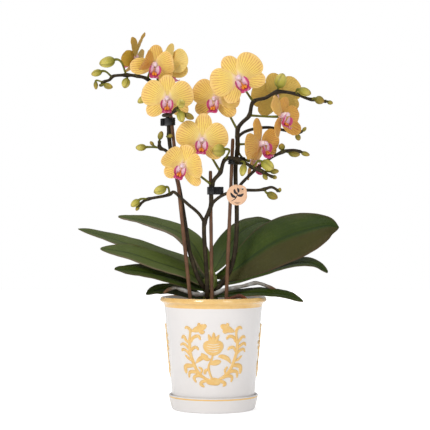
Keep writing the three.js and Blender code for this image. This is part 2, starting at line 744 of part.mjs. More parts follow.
for (const [side, stake] of Object.entries(STAKES)) {
  addMesh(plant, `stake_${side}`, toGeometry(stakeSolid(stake)), STAKE);
}
for (const [name, points] of Object.entries(ROOTS)) {
  addMesh(plant, name, toGeometry(cut(rootSolid(points), [crownCutter])), ROOT);
}
for (const [name, leaf] of Object.entries(LEAVES)) {
  addMesh(plant, name, toGeometry(cut(leafSolid(leaf), [crownCutter])), LEAF);
}
for (const side of Object.keys(SPIKES)) {
  addMesh(plant, `spike_${side}`, toGeometry(cut(spikeSolid(side), [crownCutter])), SPIKE);
  FLOWERS[side].forEach(({ middle, turn, bend = 0, size = 1 }, i) => {
    const geometry = toGeometry(flowerSolid(bend));
    const flower = addMesh(plant, `flower_${side}_${i + 1}`, geometry, PETAL);
    flower.position.copy(at(middle));
    flower.rotation.copy(turned(turn));
    flower.scale.setScalar(FLOWER_SCALE * size);
  });
  BUDS[side].forEach((bud, i) => {
    addMesh(plant, `bud_${side}_${i + 1}`, toGeometry(budSolid(bud)), BUD);
  });
}

// Where a spike's main stem passes a height.
function spikePointAt(side, height) {
  const samples = route(SPIKES[side][0]).getSpacedPoints(400);
  return samples.find((sample) => sample.z >= height).toArray();
}

// Height of each clip's lower edge.
const CLIP_HEIGHTS = { left: 183.5, centre: 112.5, right: 143.5 };

for (const [side, height] of Object.entries(CLIP_HEIGHTS)) {
  const middle = height + CLIP_HEIGHT / 2;
  const [stakeX, stakeY] = stakeAt(STAKES[side], middle);
  const [spikeX, spikeY] = spikePointAt(side, middle);
  const reach = Math.hypot(spikeX - stakeX, spikeY - stakeY);
  const clip = addMesh(plant, `clip_${side}`, toGeometry(clipSolid(reach)), CLIP);
  clip.position.set(stakeX, stakeY, height);
  clip.rotation.z = Math.atan2(spikeY - stakeY, spikeX - stakeX);
}

// The tag hangs against the branch that passes behind it.
const TAG_MIDDLE = [24, -21.6, 112];
addMesh(plant, "plant_tag", tagGeometry(), CARD).position.copy(at(TAG_MIDDLE));

const barkCutters = [
  crownCutter,
  ...Object.values(STAKES).map((stake) => stakeSolid(stake, GAP)),
  ...Object.values(ROOTS).map((points) => rootSolid(points, GAP)),
];
addMesh(plant, "potting_bark", toGeometry(barkSolid(barkCutters)), BARK);

export default potted_orchid;
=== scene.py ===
"""A potted moth orchid in bloom: how it looks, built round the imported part.

Lengths in the tables are in millimetres. Plant heights are measured from the bark's surface.
"""
import math
import random

import bmesh
import bpy
import numpy as np
from mathutils import Matrix, Vector


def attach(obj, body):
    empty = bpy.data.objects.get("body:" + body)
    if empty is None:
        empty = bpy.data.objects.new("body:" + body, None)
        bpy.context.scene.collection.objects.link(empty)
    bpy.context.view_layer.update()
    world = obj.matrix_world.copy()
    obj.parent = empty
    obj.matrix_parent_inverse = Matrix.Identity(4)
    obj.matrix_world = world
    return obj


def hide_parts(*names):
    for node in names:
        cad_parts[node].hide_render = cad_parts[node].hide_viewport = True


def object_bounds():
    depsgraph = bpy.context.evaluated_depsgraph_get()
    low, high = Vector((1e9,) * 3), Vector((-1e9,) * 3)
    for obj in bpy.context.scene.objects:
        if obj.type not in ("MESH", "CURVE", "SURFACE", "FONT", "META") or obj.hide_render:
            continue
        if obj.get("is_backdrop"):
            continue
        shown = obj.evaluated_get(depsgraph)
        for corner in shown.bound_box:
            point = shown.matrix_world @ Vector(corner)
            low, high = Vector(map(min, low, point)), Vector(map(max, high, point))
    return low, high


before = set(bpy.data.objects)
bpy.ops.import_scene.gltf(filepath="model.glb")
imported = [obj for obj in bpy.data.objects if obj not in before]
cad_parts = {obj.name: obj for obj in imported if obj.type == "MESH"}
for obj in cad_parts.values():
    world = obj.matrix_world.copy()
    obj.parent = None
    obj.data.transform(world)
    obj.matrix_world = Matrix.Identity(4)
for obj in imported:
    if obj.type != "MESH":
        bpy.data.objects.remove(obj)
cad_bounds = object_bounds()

MM = 0.001
TAU = 2 * math.pi
scene = bpy.context.scene
scene.view_settings.view_transform = "Standard"

BARK_TOP = 109.0  # height of the bark's surface over the floor
RIM_ABOVE = 7.3  # the glazed rim over the bark
BARK_FOOT = -98.0  # where the bark ends below, and each stake with it
HEEL, NECK = (42.6, 14), (50.5, 106.3)  # radius and height where the pot's wall starts and ends
WREATHS = 3  # raised ornaments round the pot

# ---- Camera, light and floor ----

EYE = Vector((0.0017, -1.6, 0.2006))
FIELD = 0.445  # width seen at the pot's axis

camera = bpy.data.objects.new("camera", bpy.data.cameras.new("camera"))
scene.collection.objects.link(camera)
camera.location = EYE
camera.rotation_euler = (math.pi / 2, 0, 0)
camera.data.sensor_width = 36
camera.data.lens = 36 * -EYE.y / FIELD
scene.camera = camera


PLANT_MIDDLE = Vector((0, 0, 0.18))


def softbox(name, place, size, power, colour=(1, 1, 1)):
    """A square soft light that looks at the plant's middle."""
    light = bpy.data.lights.new(name, "AREA")
    light.size, light.energy, light.color = size, power, colour
    holder = bpy.data.objects.new(name, light)
    scene.collection.objects.link(holder)
    holder.location = place
    holder.rotation_euler = (PLANT_MIDDLE - Vector(place)).to_track_quat("-Z", "Y").to_euler()


softbox("key_light", (-0.75, -1.15, 1.05), 0.5, 8.5, (1, 0.985, 0.96))
softbox("fill_light", (0.8, -1.3, 0.9), 0.5, 2.6, (0.97, 0.985, 1))
softbox("top_light", (-0.1, 0.25, 1.3), 0.9, 4.4)


# ---- Node trees written as arithmetic ----


class Value:
    """What a node gives, ready for arithmetic."""

    def __init__(self, rule, socket):
        self.rule, self.socket = rule, socket

    def __add__(self, other):
        return self.rule.math("ADD", self, other)

    def __sub__(self, other):
        return self.rule.math("SUBTRACT", self, other)

    def __rsub__(self, other):
        return self.rule.math("SUBTRACT", other, self)

    def __mul__(self, other):
        return self.rule.math("MULTIPLY", self, other)

    def __truediv__(self, other):
        return self.rule.math("DIVIDE", self, other)

    def __pow__(self, other):
        return self.rule.math("POWER", self, other)

    __radd__ = __add__


class Rule:
    """Adds nodes to a tree and joins them; each method returns what its node gives."""

    def __init__(self, tree):
        self.tree = tree

    def feed(self, socket, value):
        if isinstance(value, Value):
            self.tree.links.new(value.socket, socket)
        elif value is not None:
            socket.default_value = value

    def node(self, kind, inputs=None, output=0, **settings):
        node = self.tree.nodes.new(kind)
        for name, value in settings.items():
            setattr(node, name, value)
        for key, value in (inputs or {}).items():
            self.feed(node.inputs[key], value)
        return Value(self, node.outputs[output]) if len(node.outputs) else node

    def math(self, operation, *values):
        return self.node("ShaderNodeMath", dict(enumerate(values)), operation=operation)

    def vector(self, operation, *values, scale=None):
        inputs = dict(enumerate(values))
        if scale is not None:
            inputs["Scale"] = scale
        output = "Value" if operation in ("LENGTH", "DOT_PRODUCT") else "Vector"
        return self.node("ShaderNodeVectorMath", inputs, output, operation=operation)

    def parts(self, vector):
        node = self.tree.nodes.new("ShaderNodeSeparateXYZ")
        self.feed(node.inputs[0], vector)
        return [Value(self, socket) for socket in node.outputs]

    def joined(self, x, y, z):
        return self.node("ShaderNodeCombineXYZ", {0: x, 1: y, 2: z})

    def total(self, *vectors):
        whole = vectors[0]
        for vector in vectors[1:]:
            whole = self.vector("ADD", whole, vector)
        return whole

    def noise(self, scale, detail=3, rough=0.5, at=None, twist=0.0):
        inputs = {"Scale": scale, "Detail": detail, "Roughness": rough, "Distortion": twist}
        return self.node("ShaderNodeTexNoise", inputs | {"Vector": at})

    def step(self, value, low, high):
        """0 below `low`, 1 above `high`, smooth between."""
        return self.node(
            "ShaderNodeMapRange",
            {"Value": value, "From Min": low, "From Max": high},
            interpolation_type="SMOOTHSTEP",
        )

    # Only in materials.

    def held(self, name):
        return self.node("ShaderNodeAttribute", output="Fac", attribute_name=name)

    def mix(self, factor, a, b, blend="MIX"):
        node = self.tree.nodes.new("ShaderNodeMix")
        node.data_type, node.blend_type = "RGBA", blend
        for key, value in (("Factor_Float", factor), ("A_Color", a), ("B_Color", b)):
            self.feed(next(s for s in node.inputs if s.identifier == key), value)
        return Value(self, next(s for s in node.outputs if s.identifier == "Result_Color"))

    def ramp(self, value, *stops):
        node = self.tree.nodes.new("ShaderNodeValToRGB")
        self.feed(node.inputs[0], value)
        elements = node.color_ramp.elements
        while len(elements) < len(stops):
            elements.new(0.5)
        for element, (position, colour) in zip(elements, stops):
            element.position, element.color = position, colour
        return Value(self, node.outputs["Color"])

    def look(self, colour, rough, height, distance, strength):
        """A surface's inputs: its colour, its roughness and its fine relief."""
        inputs = {"Height": height, "Distance": distance, "Strength": strength}
        relief = self.node("ShaderNodeBump", inputs)
        return {"Base Color": colour, "Roughness": rough, "Normal": relief}


def tint(red, green, blue):
    """A colour given on the usual scale of 0 to 255, as linear light."""

    def light(share):
        return share / 12.92 if share <= 0.04045 else ((share + 0.055) / 1.055) ** 2.4

    return (*(light(c / 255) for c in (red, green, blue)), 1.0)


def finish(name, build, **surface):
    """A material: `build` wires colour, roughness and bump, `surface` holds what is even."""
    material = bpy.data.materials.new(name)
    material.use_nodes = True
    shader = material.node_tree.nodes["Principled BSDF"]
    for key, value in surface.items():
        shader.inputs[key.replace("_", " ")].default_value = value
    rule = Rule(material.node_tree)
    place = rule.node("ShaderNodeTexCoord", output="Object")
    for key, value in build(rule, place).items():
        rule.feed(shader.inputs[key], value)
    return material


# ---- Finishes ----

SLIP_YELLOW, SLIP_DEEP = tint(249, 208, 134), tint(243, 195, 112)
WHITE_GLAZE = tint(243, 240, 238)
BACKDROP, ROOM = (1.0, 1.0, 1.0, 1.0), (0.42, 0.415, 0.42, 1.0)


def glazed(yellow_where):
    """White glaze, with a yellow coat where the given rule says."""

    def build(rule, place):
        cloud = rule.noise(38, 4, 0.55, place)
        white = rule.mix(cloud * 0.5, WHITE_GLAZE, tint(232, 228, 227))
        wander = rule.noise(260, 2, 0.5, place)
        coat = rule.mix(rule.step(rule.noise(90, 3, 0.6, place), 0.3, 0.75), SLIP_YELLOW, SLIP_DEEP)
        x, y, z = rule.parts(place)
        radius = rule.vector("LENGTH", rule.joined(x, y, 0.0))
        edge = (wander - 0.5) * 0.0005  # the brushed edge wavers by a quarter millimetre
        specks = rule.step(rule.noise(900, 2, 0.6, place), 0.74, 0.8) * 0.25
        colour = rule.mix(yellow_where(rule, radius, z + edge), white, coat)
        colour = rule.mix(specks, colour, tint(216, 208, 200))
        waves = rule.noise(55, 2, 0.4, place) + wander * 0.06
        rough = 0.1 + cloud * 0.1
        return rule.look(colour, rough, waves, 0.0007, 0.35)

    return build


def on_band(rule, radius, z):
    """The pot's outside from its neck up to the top of its rim."""
    outside = rule.step(radius, 0.0497, 0.0503)
    below_lip = 1.0 - rule.step(z + (radius - 0.054) * 0.6, 0.1160, 0.1164)
    return rule.step(z, 0.1061, 0.1064) * outside * below_lip


def on_saucer_line(rule, radius, z):
    """A thin line round the saucer, under its lip."""
    over, under = rule.step(z, 0.0132, 0.0134), 1.0 - rule.step(z, 0.0147, 0.0149)
    return over * under * rule.step(radius, 0.0448, 0.0452)


def slip_build(rule, place):
    """Raised yellow slip: thin and paler at its edges, with a little pooling."""
    edge = rule.step(rule.held("front"), 0.05, 0.5)
    cloud = rule.noise(150, 4, 0.6, place)
    body = rule.mix(rule.step(cloud, 0.35, 0.75), SLIP_YELLOW, SLIP_DEEP)
    colour = rule.mix(edge, tint(250, 226, 182), body)
    colour = rule.mix(rule.held("tone"), colour, tint(252, 240, 218))
    grain = rule.noise(700, 3, 0.6, place)
    return rule.look(colour, 0.24 + grain * 0.16, grain + cloud, 0.0003, 0.4)


def grow_pot_build(rule, place):
    height = rule.parts(place)[2]
    film = rule.noise(60, 5, 0.6, place)
    dust = rule.step(rule.noise(240, 4, 0.7, place), 0.5, 0.8)
    colour = rule.mix(film, tint(84, 66, 50), tint(48, 38, 30))
    colour = rule.mix(dust * 0.5, colour, tint(150, 132, 110))
    rings = rule.math("SINE", height * (TAU / 0.0045))
    return rule.look(colour, 0.32 + dust * 0.4, rings * 0.4 + film, 0.0003, 0.5)


def bark_build(rule, place):
    chip = rule.node("ShaderNodeTexVoronoi", {"Vector": place, "Scale": 130.0}, "Color")
    shade = rule.parts(chip)[0]
    fibre = rule.noise(420, 5, 0.7, place, 1.2)
    colour = rule.ramp(
        shade * 0.6 + fibre * 0.4, (0.1, tint(46, 30, 22)), (0.4, tint(92, 60, 40)),
        (0.65, tint(128, 86, 56)), (0.9, tint(166, 126, 88)),
    )
    moss = rule.step(rule.noise(75, 4, 0.6, place), 0.6, 0.72)
    colour = rule.mix(moss * 0.35, colour, tint(104, 108, 62))
    return rule.look(colour, 0.75 + fibre * 0.2, fibre + shade * 0.4, 0.0014, 0.9)


def stake_build(rule, place):
    """Stained split cane: long fibres, in darker and paler patches."""
    long_way = rule.vector("MULTIPLY", place, (1.0, 1.0, 0.045))
    fibre = rule.noise(1500, 4, 0.65, long_way)
    patch = rule.noise(45, 3, 0.6, place)
    colour = rule.ramp(
        fibre * 0.6 + patch * 0.4, (0.28, tint(54, 32, 22)), (0.5, tint(112, 76, 50)),
        (0.72, tint(156, 114, 80)),
    )
    return rule.look(colour, 0.5 + fibre * 0.25, fibre, 0.0005, 0.8)


def clip_build(rule, place):
    grain = rule.noise(1100, 3, 0.6, place)
    wear = rule.step(rule.noise(170, 4, 0.6, place), 0.55, 0.75)
    colour = rule.mix(wear * 0.5, tint(20, 21, 24), tint(46, 47, 50))
    return rule.look(colour, 0.34 + wear * 0.2, grain, 0.0002, 0.6)


def card_build(rule, place):
    pulp = rule.noise(900, 5, 0.7, place)
    cloud = rule.noise(70, 3, 0.5, place)
    colour = rule.mix(cloud, tint(248, 205, 170), tint(238, 190, 152))
    colour = rule.mix(rule.step(pulp, 0.62, 0.78) * 0.3, colour, tint(206, 158, 124))
    return rule.look(colour, 0.8, pulp, 0.0002, 0.7)


def ink_build(rule, place):
    worn = rule.noise(1600, 3, 0.7, place)
    colour = rule.mix(rule.step(worn, 0.55, 0.8) * 0.5, tint(30, 30, 38), tint(96, 84, 84))
    return rule.look(colour, 0.6, worn, 0.0001, 0.5)


def leaf_build(rule, place):
    """Deep green and waxy above, dull pinkish green below, flushed brown at edge and tip.

    Tone 1 flushes one half of the leaf brown; tone -1 is a lighter leaf with one pale edge.
    """
    across, along, front = (rule.held(n) for n in ("across", "along", "front"))
    out = rule.math("ABSOLUTE", across)
    cloud = rule.noise(24, 4, 0.55, place)
    fine = rule.noise(190, 4, 0.6, place)
    fibre = rule.noise(40, 3, 0.5, rule.joined(across * 2.2, along * 0.05, cloud * 0.1))
    upper = rule.ramp(
        cloud * 0.6 + fibre * 0.4, (0.3, tint(36, 52, 12)), (0.5, tint(54, 72, 18)),
        (0.72, tint(82, 96, 32)),
    )
    base_glow = (1.0 - rule.step(along, 0.03, 0.3)) * 0.55
    upper = rule.mix(base_glow, upper, tint(86, 108, 38))
    flush = rule.step(out * 0.5 + along * 0.6 + (cloud - 0.5) * 0.9, 0.72, 1.15)
    upper = rule.mix(flush * 0.55, upper, tint(84, 68, 50))
    tone = rule.held("tone")
    light_leaf = rule.step(0.0 - tone, 0.5, 0.7)
    upper = rule.mix(light_leaf * 0.3, upper, tint(112, 124, 58))
    brown_half = rule.step(across * tone + (cloud - 0.5) * 0.3, 0.0, 0.25)
    upper = rule.mix(brown_half * rule.step(tone, 0.5, 0.9) * 0.6, upper, tint(74, 60, 34))
    pale_edge = rule.step(across * tone, 0.62, 0.84) * light_leaf
    upper = rule.mix(pale_edge * 0.75, upper, tint(140, 124, 104))
    rib = 1.0 - rule.step(out, 0.02, 0.1)
    upper = rule.mix(rib * 0.55, upper, tint(34, 52, 24))
    rim = rule.step(out, 0.9, 1.0)
    upper = rule.mix(rim * 0.5, upper, tint(92, 62, 50))
    scuffs = rule.step(rule.noise(330, 3, 0.7, place), 0.7, 0.76)
    upper = rule.mix(scuffs * 0.3, upper, tint(128, 136, 104))
    lower = rule.mix(cloud, tint(104, 104, 72), tint(146, 124, 110))
    lower = rule.mix(rib * 0.6, lower, tint(98, 112, 56))
    colour = rule.mix(rule.step(front, -0.12, 0.1), lower, upper)
    height = fibre * 0.6 + fine * 0.25 + cloud * 0.4
    return rule.look(colour, 0.4 + fine * 0.2, height, 0.0009, 0.45)


def crown_build(rule, place):
    cloud = rule.noise(110, 4, 0.6, place)
    streak = rule.noise(500, 3, 0.6, rule.vector("MULTIPLY", place, (1.0, 1.0, 0.12)))
    colour = rule.ramp(
        cloud * 0.55 + streak * 0.45, (0.3, tint(74, 84, 36)), (0.5, tint(122, 138, 62)),
        (0.75, tint(176, 166, 104)),
    )
    return rule.look(colour, 0.55, streak, 0.0006, 0.8)


def root_build(silver, patch, tip):
    """Papery root skin: one dry colour, patches of another, and a growing tip."""

    def build(rule, place):
        along = rule.held("along")
        cloud = rule.noise(85, 5, 0.65, place)
        pits = rule.noise(900, 4, 0.7, place)
        colour = rule.mix(rule.step(cloud + along * 0.22, 0.48, 0.78), silver, patch)
        colour = rule.mix(rule.step(pits, 0.5, 0.75) * 0.35, colour, tint(92, 84, 70))
        colour = rule.mix(rule.step(along, 0.76, 0.92), colour, tip)
        return rule.look(colour, 0.7 + pits * 0.2, pits + cloud, 0.0007, 0.8)

    return build


def stem_build(rule, place):
    """Flower stem: dark where it is old, green where it is young (tone 1)."""
    tone = rule.held("tone")
    cloud = rule.noise(130, 5, 0.65, place)
    streak = rule.noise(900, 3, 0.6, rule.vector("MULTIPLY", place, (1.0, 1.0, 0.1)))
    old = rule.ramp(
        cloud * 0.6 + streak * 0.4, (0.3, tint(28, 22, 16)), (0.5, tint(52, 43, 30)),
        (0.72, tint(84, 74, 48)),
    )
    young = rule.ramp(
        cloud * 0.7 + streak * 0.3, (0.3, tint(82, 84, 26)), (0.55, tint(118, 118, 40)),
        (0.75, tint(146, 138, 62)),
    )
    colour = rule.mix(rule.step(tone + (cloud - 0.5) * 0.5, 0.2, 0.8), old, young)
    specks = rule.step(rule.noise(1500, 2, 0.6, place), 0.66, 0.74)
    colour = rule.mix(specks * 0.3, colour, tint(120, 112, 84))
    return rule.look(colour, 0.42 + cloud * 0.2, streak + cloud * 0.5, 0.0004, 0.7)


def bud_build(rule, place):
    along, seam, shade = (rule.held(n) for n in ("along", "seam", "tone"))
    cloud = rule.noise(120, 4, 0.6, place)
    colour = rule.ramp(
        along, (0.0, tint(118, 122, 36)), (0.35, tint(176, 168, 62)), (0.8, tint(220, 206, 104)),
        (1.0, tint(168, 150, 58)),
    )
    olive = rule.ramp(
        along, (0.0, tint(104, 102, 34)), (0.6, tint(156, 138, 46)), (1.0, tint(170, 136, 58)),
    )
    colour = rule.mix(rule.step(shade + (cloud - 0.5) * 0.3, 0.2, 0.9), colour, olive)
    flush = rule.step(rule.noise(45, 2, 0.5, place), 0.5, 0.76)
    colour = rule.mix(flush * 0.3, colour, tint(146, 108, 60))
    colour = rule.mix(seam * 0.6, colour, tint(104, 98, 36))
    streak = rule.noise(650, 3, 0.6, place)
    return rule.look(colour, 0.34 + cloud * 0.16, streak * 0.5 + cloud, 0.0004, 0.5)


def tepal_build(rule, place):
    """Soft yellow with fine rose-brown veins from a pale heart.

    Tone is how shut a tepal still is, and it also paints shade: a high tone makes the front ochre,
    partly a shut tepal's own colour and partly painted shade on tepals that lie in shadow, and makes
    the back olive.
    """
    across, along, front, vein = (rule.held(n) for n in ("across", "along", "front", "vein"))
    shut_and_shade = rule.held("tone")
    out = rule.math("ABSOLUTE", across)
    wander = rule.noise(260, 3, 0.6, place)
    breaks = rule.noise(520, 3, 0.6, place)
    cloud = rule.noise(60, 3, 0.5, place)
    sway = rule.noise(120, 2, 0.5, place)
    lane = rule.math("FRACT", vein + (wander - 0.5) * 0.4 + (sway - 0.5) * 1.1 + 20.5)
    off = rule.math("ABSOLUTE", lane - 0.5) * 2.0
    line = 1.0 - rule.step(off, 0.05, 0.5)
    line = line * rule.step(breaks, 0.26, 0.48)
    reach = rule.step(along, 0.14, 0.34) * (1.0 - rule.step(along, 0.86, 0.985))
    reach = reach * (1.0 - rule.step(out, 0.82, 0.99))
    face = rule.ramp(
        along + (cloud - 0.5) * 0.12, (0.0, tint(250, 222, 216)), (0.12, tint(250, 226, 190)),
        (0.24, tint(251, 226, 130)), (0.55, tint(251, 218, 108)), (0.85, tint(250, 210, 114)),
        (1.0, tint(249, 208, 132)),
    )
    face = rule.mix(rule.step(out, 0.6, 1.0) * 0.6, face, tint(250, 208, 128))
    # Painted shade: the deeper ochre front is partly a shut tepal's own colour and partly stands in
    # for shadow on the tepal.
    face = rule.mix(shut_and_shade * 0.8, face, tint(218, 158, 50))
    veined = rule.mix(line * reach * (0.58 + shut_and_shade * 0.2), face, tint(194, 94, 54))
    back = rule.ramp(
        along + (cloud - 0.5) * 0.4, (0.0, tint(172, 150, 42)), (0.5, tint(200, 164, 48)),
        (1.0, tint(218, 172, 62)),
    )
    back = rule.mix(shut_and_shade, tint(242, 212, 122), back)
    back = rule.mix(line * reach * 0.22, back, tint(150, 96, 40))
    colour = rule.mix(rule.step(front, -0.2, 0.12), back, veined)
    height = line * reach * -0.5 + rule.noise(1300, 2, 0.6, place) * 0.35 + wander * 0.4
    return rule.look(colour, 0.5 + cloud * 0.12, height, 0.0004, 0.5)


def lip_build(rule, place):
    """Pale, striped and edged in magenta. Tone: right lobe 0, left lobe 0.25, tongue 1."""
    across, along, tone = (rule.held(n) for n in ("across", "along", "tone"))
    out = rule.math("ABSOLUTE", across)
    cloud = rule.noise(320, 3, 0.6, place)
    stripe = rule.math("SINE", across * 26.0 + cloud * 5.0) * 0.5 + 0.5
    deep = rule.mix(stripe * 0.5, tint(198, 4, 96), tint(220, 34, 142))
    pale = rule.mix(cloud, tint(246, 222, 228), tint(240, 182, 208))
    tongue = rule.step(tone, 0.5, 0.9)
    outer = across * (1.0 - rule.step(tone, 0.1, 0.2) * 2.0)
    lobe = rule.step(outer + (cloud - 0.5) * 0.5 + along * 0.35, 0.1, 0.6)
    lobe = rule.math("MAXIMUM", lobe, 1.0 - rule.step(rule.held("front"), -0.4, 0.0))
    blush = rule.step(along + (cloud - 0.5) * 0.3, 0.2, 0.5)
    reach = lobe * (1.0 - tongue) + blush * tongue
    colour = rule.mix(reach * (0.8 + stripe * 0.2), pale, deep)
    gold = (1.0 - rule.step(out, 0.1, 0.5)) * (1.0 - rule.step(along, 0.35, 0.66)) * tongue
    colour = rule.mix(gold, colour, tint(248, 160, 36))
    colour = rule.mix(rule.step(out, 0.86, 1.0) * 0.5, colour, tint(226, 120, 188))
    return rule.look(colour, 0.42, stripe + cloud, 0.0003, 0.5)


def callus_build(rule, place):
    spots = rule.node("ShaderNodeTexVoronoi", {"Vector": place, "Scale": 900.0}, "Distance")
    red = 1.0 - rule.step(spots, 0.22, 0.4)
    colour = rule.mix(red * 0.8, tint(240, 150, 30), tint(186, 34, 26))
    return rule.look(colour, 0.35, spots, 0.0003, 0.6)


def column_build(rule, place):
    along = rule.held("along")
    cloud = rule.noise(380, 3, 0.6, place)
    colour = rule.ramp(
        along + (cloud - 0.5) * 0.3, (0.2, tint(232, 192, 200)), (0.55, tint(238, 202, 216)),
        (0.85, tint(246, 228, 230)),
    )
    return rule.look(colour, 0.4, cloud, 0.0003, 0.5)


def floor_build(rule, place):
    """White paper that brightens into the white backdrop away from the pot."""
    paper = rule.noise(30, 3, 0.5, place)
    away = rule.step(rule.vector("LENGTH", place), 0.07, 0.34)
    seen = rule.node("ShaderNodeLightPath", output="Is Camera Ray")
    return {
        "Base Color": rule.mix(paper * 0.3, tint(250, 250, 250), tint(246, 246, 246)),
        "Emission Color": BACKDROP,
        "Emission Strength": (away * 0.5 + 0.5) * (seen * 0.7 + 0.3),
    }


POT_GLAZE = finish(
    "white_glaze_yellow_band", glazed(on_band), IOR=1.5, Coat_Weight=0.6, Coat_Roughness=0.06
)
SAUCER_GLAZE = finish("white_glaze_yellow_line", glazed(on_saucer_line), IOR=1.5, Coat_Weight=0.4)
SLIP = finish("yellow_slip", slip_build, IOR=1.5, Coat_Weight=0.3)
GROW_POT = finish("smoked_plastic", grow_pot_build, IOR=1.46)
BARK = finish("pine_bark", bark_build)
CANE = finish("stained_cane", stake_build)
CLIP = finish("black_plastic", clip_build, IOR=1.46)
CARD = finish("peach_card", card_build)
INK = finish("dark_ink", ink_build)
LEAF = finish("waxy_leaf", leaf_build, IOR=1.42, Specular_IOR_Level=0.22)
CROWN = finish("leaf_sheath", crown_build)
silver_skin = root_build(tint(192, 192, 188), tint(116, 104, 86), tint(116, 84, 56))
SILVER_ROOT = finish("silver_root", silver_skin)
brown_skin = root_build(tint(112, 58, 36), tint(72, 40, 28), tint(140, 74, 46))
BROWN_ROOT = finish("dry_root", brown_skin)
STEM = finish("flower_stem", stem_build, IOR=1.42, Specular_IOR_Level=0.25)
BUD = finish("closed_bud", bud_build, IOR=1.42)
TEPAL = finish("veined_tepal", tepal_build, Sheen_Weight=0.12, Sheen_Roughness=0.5)
LIP = finish("magenta_lip", lip_build)
CALLUS = finish("spotted_callus", callus_build)
COLUMN = finish("pale_column", column_build)

floor = bpy.data.objects.new("floor", bpy.data.meshes.new("floor"))
corners = [(-3, -1.6, 0), (3, -1.6, 0), (3, 2.5, 0), (-3, 2.5, 0)]
floor.data.from_pydata(corners, [], [range(4)])
floor.data.materials.append(finish("pale_paper", floor_build, Roughness=0.9))
scene.collection.objects.link(floor)
floor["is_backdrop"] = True

world = bpy.data.worlds.new("studio")
scene.world = world
world.use_nodes = True
world_rule = Rule(world.node_tree)
seen = world_rule.node("ShaderNodeLightPath", output="Is Camera Ray")
around = world_rule.mix(seen, ROOM, BACKDROP)
world_rule.feed(world.node_tree.nodes["Background"].inputs["Color"], around)


# ---- Geometry trees ----

KINDS = {float: "NodeSocketFloat", int: "NodeSocketInt", tuple: "NodeSocketVector"}


def open_tree(name, **sizes):
    """A geometry tree with a named input for each size; returns its rule and its inputs."""
    tree = bpy.data.node_groups.new(name, "GeometryNodeTree")
    tree.interface.new_socket("Geometry", in_out="OUTPUT", socket_type="NodeSocketGeometry")
    tree.interface.new_socket("Geometry", in_out="INPUT", socket_type="NodeSocketGeometry")
    for label, value in sizes.items():
        socket = tree.interface.new_socket(label, in_out="INPUT", socket_type=KINDS[type(value)])
        socket.default_value = value
    tree.interface.new_socket("Material", in_out="INPUT", socket_type="NodeSocketMaterial")
    given = tree.nodes.new("NodeGroupInput")
    rule = Rule(tree)
    return rule, {s.name: Value(rule, s) for s in given.outputs if s.name}


def close_tree(rule, geometry, given):
    """Smooths a tree's geometry, makes it real, gives it its material and returns the tree."""
    smooth = rule.node("GeometryNodeSetShadeSmooth", {"Geometry": geometry})
    real = rule.node("GeometryNodeRealizeInstances", {"Geometry": smooth})
    inputs = {"Geometry": real, "Material": given["Material"]}
    dressed = rule.node("GeometryNodeSetMaterial", inputs)
    rule.node("NodeGroupOutput", {"Geometry": dressed})
    return rule.tree


def store(rule, geometry, **values):
    """Keeps values on a geometry's points, under their own names."""
    for name, value in values.items():
        inputs = {"Geometry": geometry, "Name": name, "Value": value}
        geometry = rule.node("GeometryNodeStoreNamedAttribute", inputs)
    return geometry


def blade_tree():
    """A closed blade or spindle along a midrib: leaves, tepals, buds and raised scrolls."""
    rule, given = open_tree(
        "blade", Width=0.02, Thickness=0.001, Rise=0.6, Fall=0.5, Round=0.0, Fold=0.0, Cup=0.0,
        Ruffle=0.0, Groove=0.0, Seams=0.0, Veins=0.0, Tone=0.0, Seed=0.0, Face=(0.0, -1.0, 0.0),
        Around=24, Along=24,
    )
    width, rise, fall = given["Width"], given["Rise"], given["Fall"]
    line = rule.node("GeometryNodeMeshToCurve", {"Mesh": given["Geometry"]})
    grid = rule.tree.nodes.new("GeometryNodeMeshGrid")
    rule.feed(grid.inputs["Vertices X"], given["Around"])
    rule.feed(grid.inputs["Vertices Y"], given["Along"])
    u, v, _ = rule.parts(Value(rule, grid.outputs["UV Map"]))
    angle = u * TAU
    along = 0.5 - rule.math("COSINE", v * math.pi) * 0.5
    across, front = rule.math("COSINE", angle), rule.math("SINE", angle)
    out = rule.math("SQRT", across * across + 0.004)
    sample = rule.tree.nodes.new("GeometryNodeSampleCurve")
    sample.mode = "FACTOR"
    rule.feed(sample.inputs["Curves"], line)
    rule.feed(sample.inputs["Factor"], along)
    point, forward = (Value(rule, sample.outputs[n]) for n in ("Position", "Tangent"))
    side = rule.vector("NORMALIZE", rule.vector("CROSS_PRODUCT", forward, given["Face"]))
    up = rule.vector("CROSS_PRODUCT", side, forward)
    widest = rise / (rise + fall)
    peak = (widest**rise) * ((1.0 - widest) ** fall)
    share = (along**rise) * ((1.0 - along) ** fall) / peak
    seam = (rule.math("COSINE", angle * 3.0 + along * 1.2 + given["Seed"]) * 0.5 + 0.5) ** 14.0
    pinch = 1.0 - given["Seams"] * seam
    half = width * share * 0.5
    flat = given["Thickness"] * rule.math("SQRT", share) * 0.5
    depth = flat * (1.0 - given["Round"]) + half * given["Round"]
    spot = rule.joined(across * 1.3, along * 2.6, given["Seed"] * 7.3)
    wave = (rule.noise(1.6, 2, 0.5, spot) - 0.5) * given["Ruffle"] * (out * out * 0.8 + 0.2) * along
    dent = given["Groove"] * share / ((out * out * 60.0 + 1.0) ** 2.0)
    lift = front * depth * pinch + half * out * given["Fold"]
    lift = lift + half * out * out * given["Cup"] + wave - dent
    moved = rule.total(
        point,
        rule.vector("SCALE", side, scale=across * half * pinch),
        rule.vector("SCALE", up, scale=lift),
    )
    vein = across * given["Veins"] * ((1.0 - along) ** 0.42)
    shaped = store(
        rule, Value(rule, grid.outputs["Mesh"]), across=across, along=along, front=front,
        vein=vein, seam=seam, tone=given["Tone"],
    )
    shaped = rule.node("GeometryNodeSetPosition", {"Geometry": shaped, "Position": moved})
    closed = rule.node("GeometryNodeMergeByDistance", {"Geometry": shaped, "Distance": 2e-6})
    return close_tree(rule, closed, given)


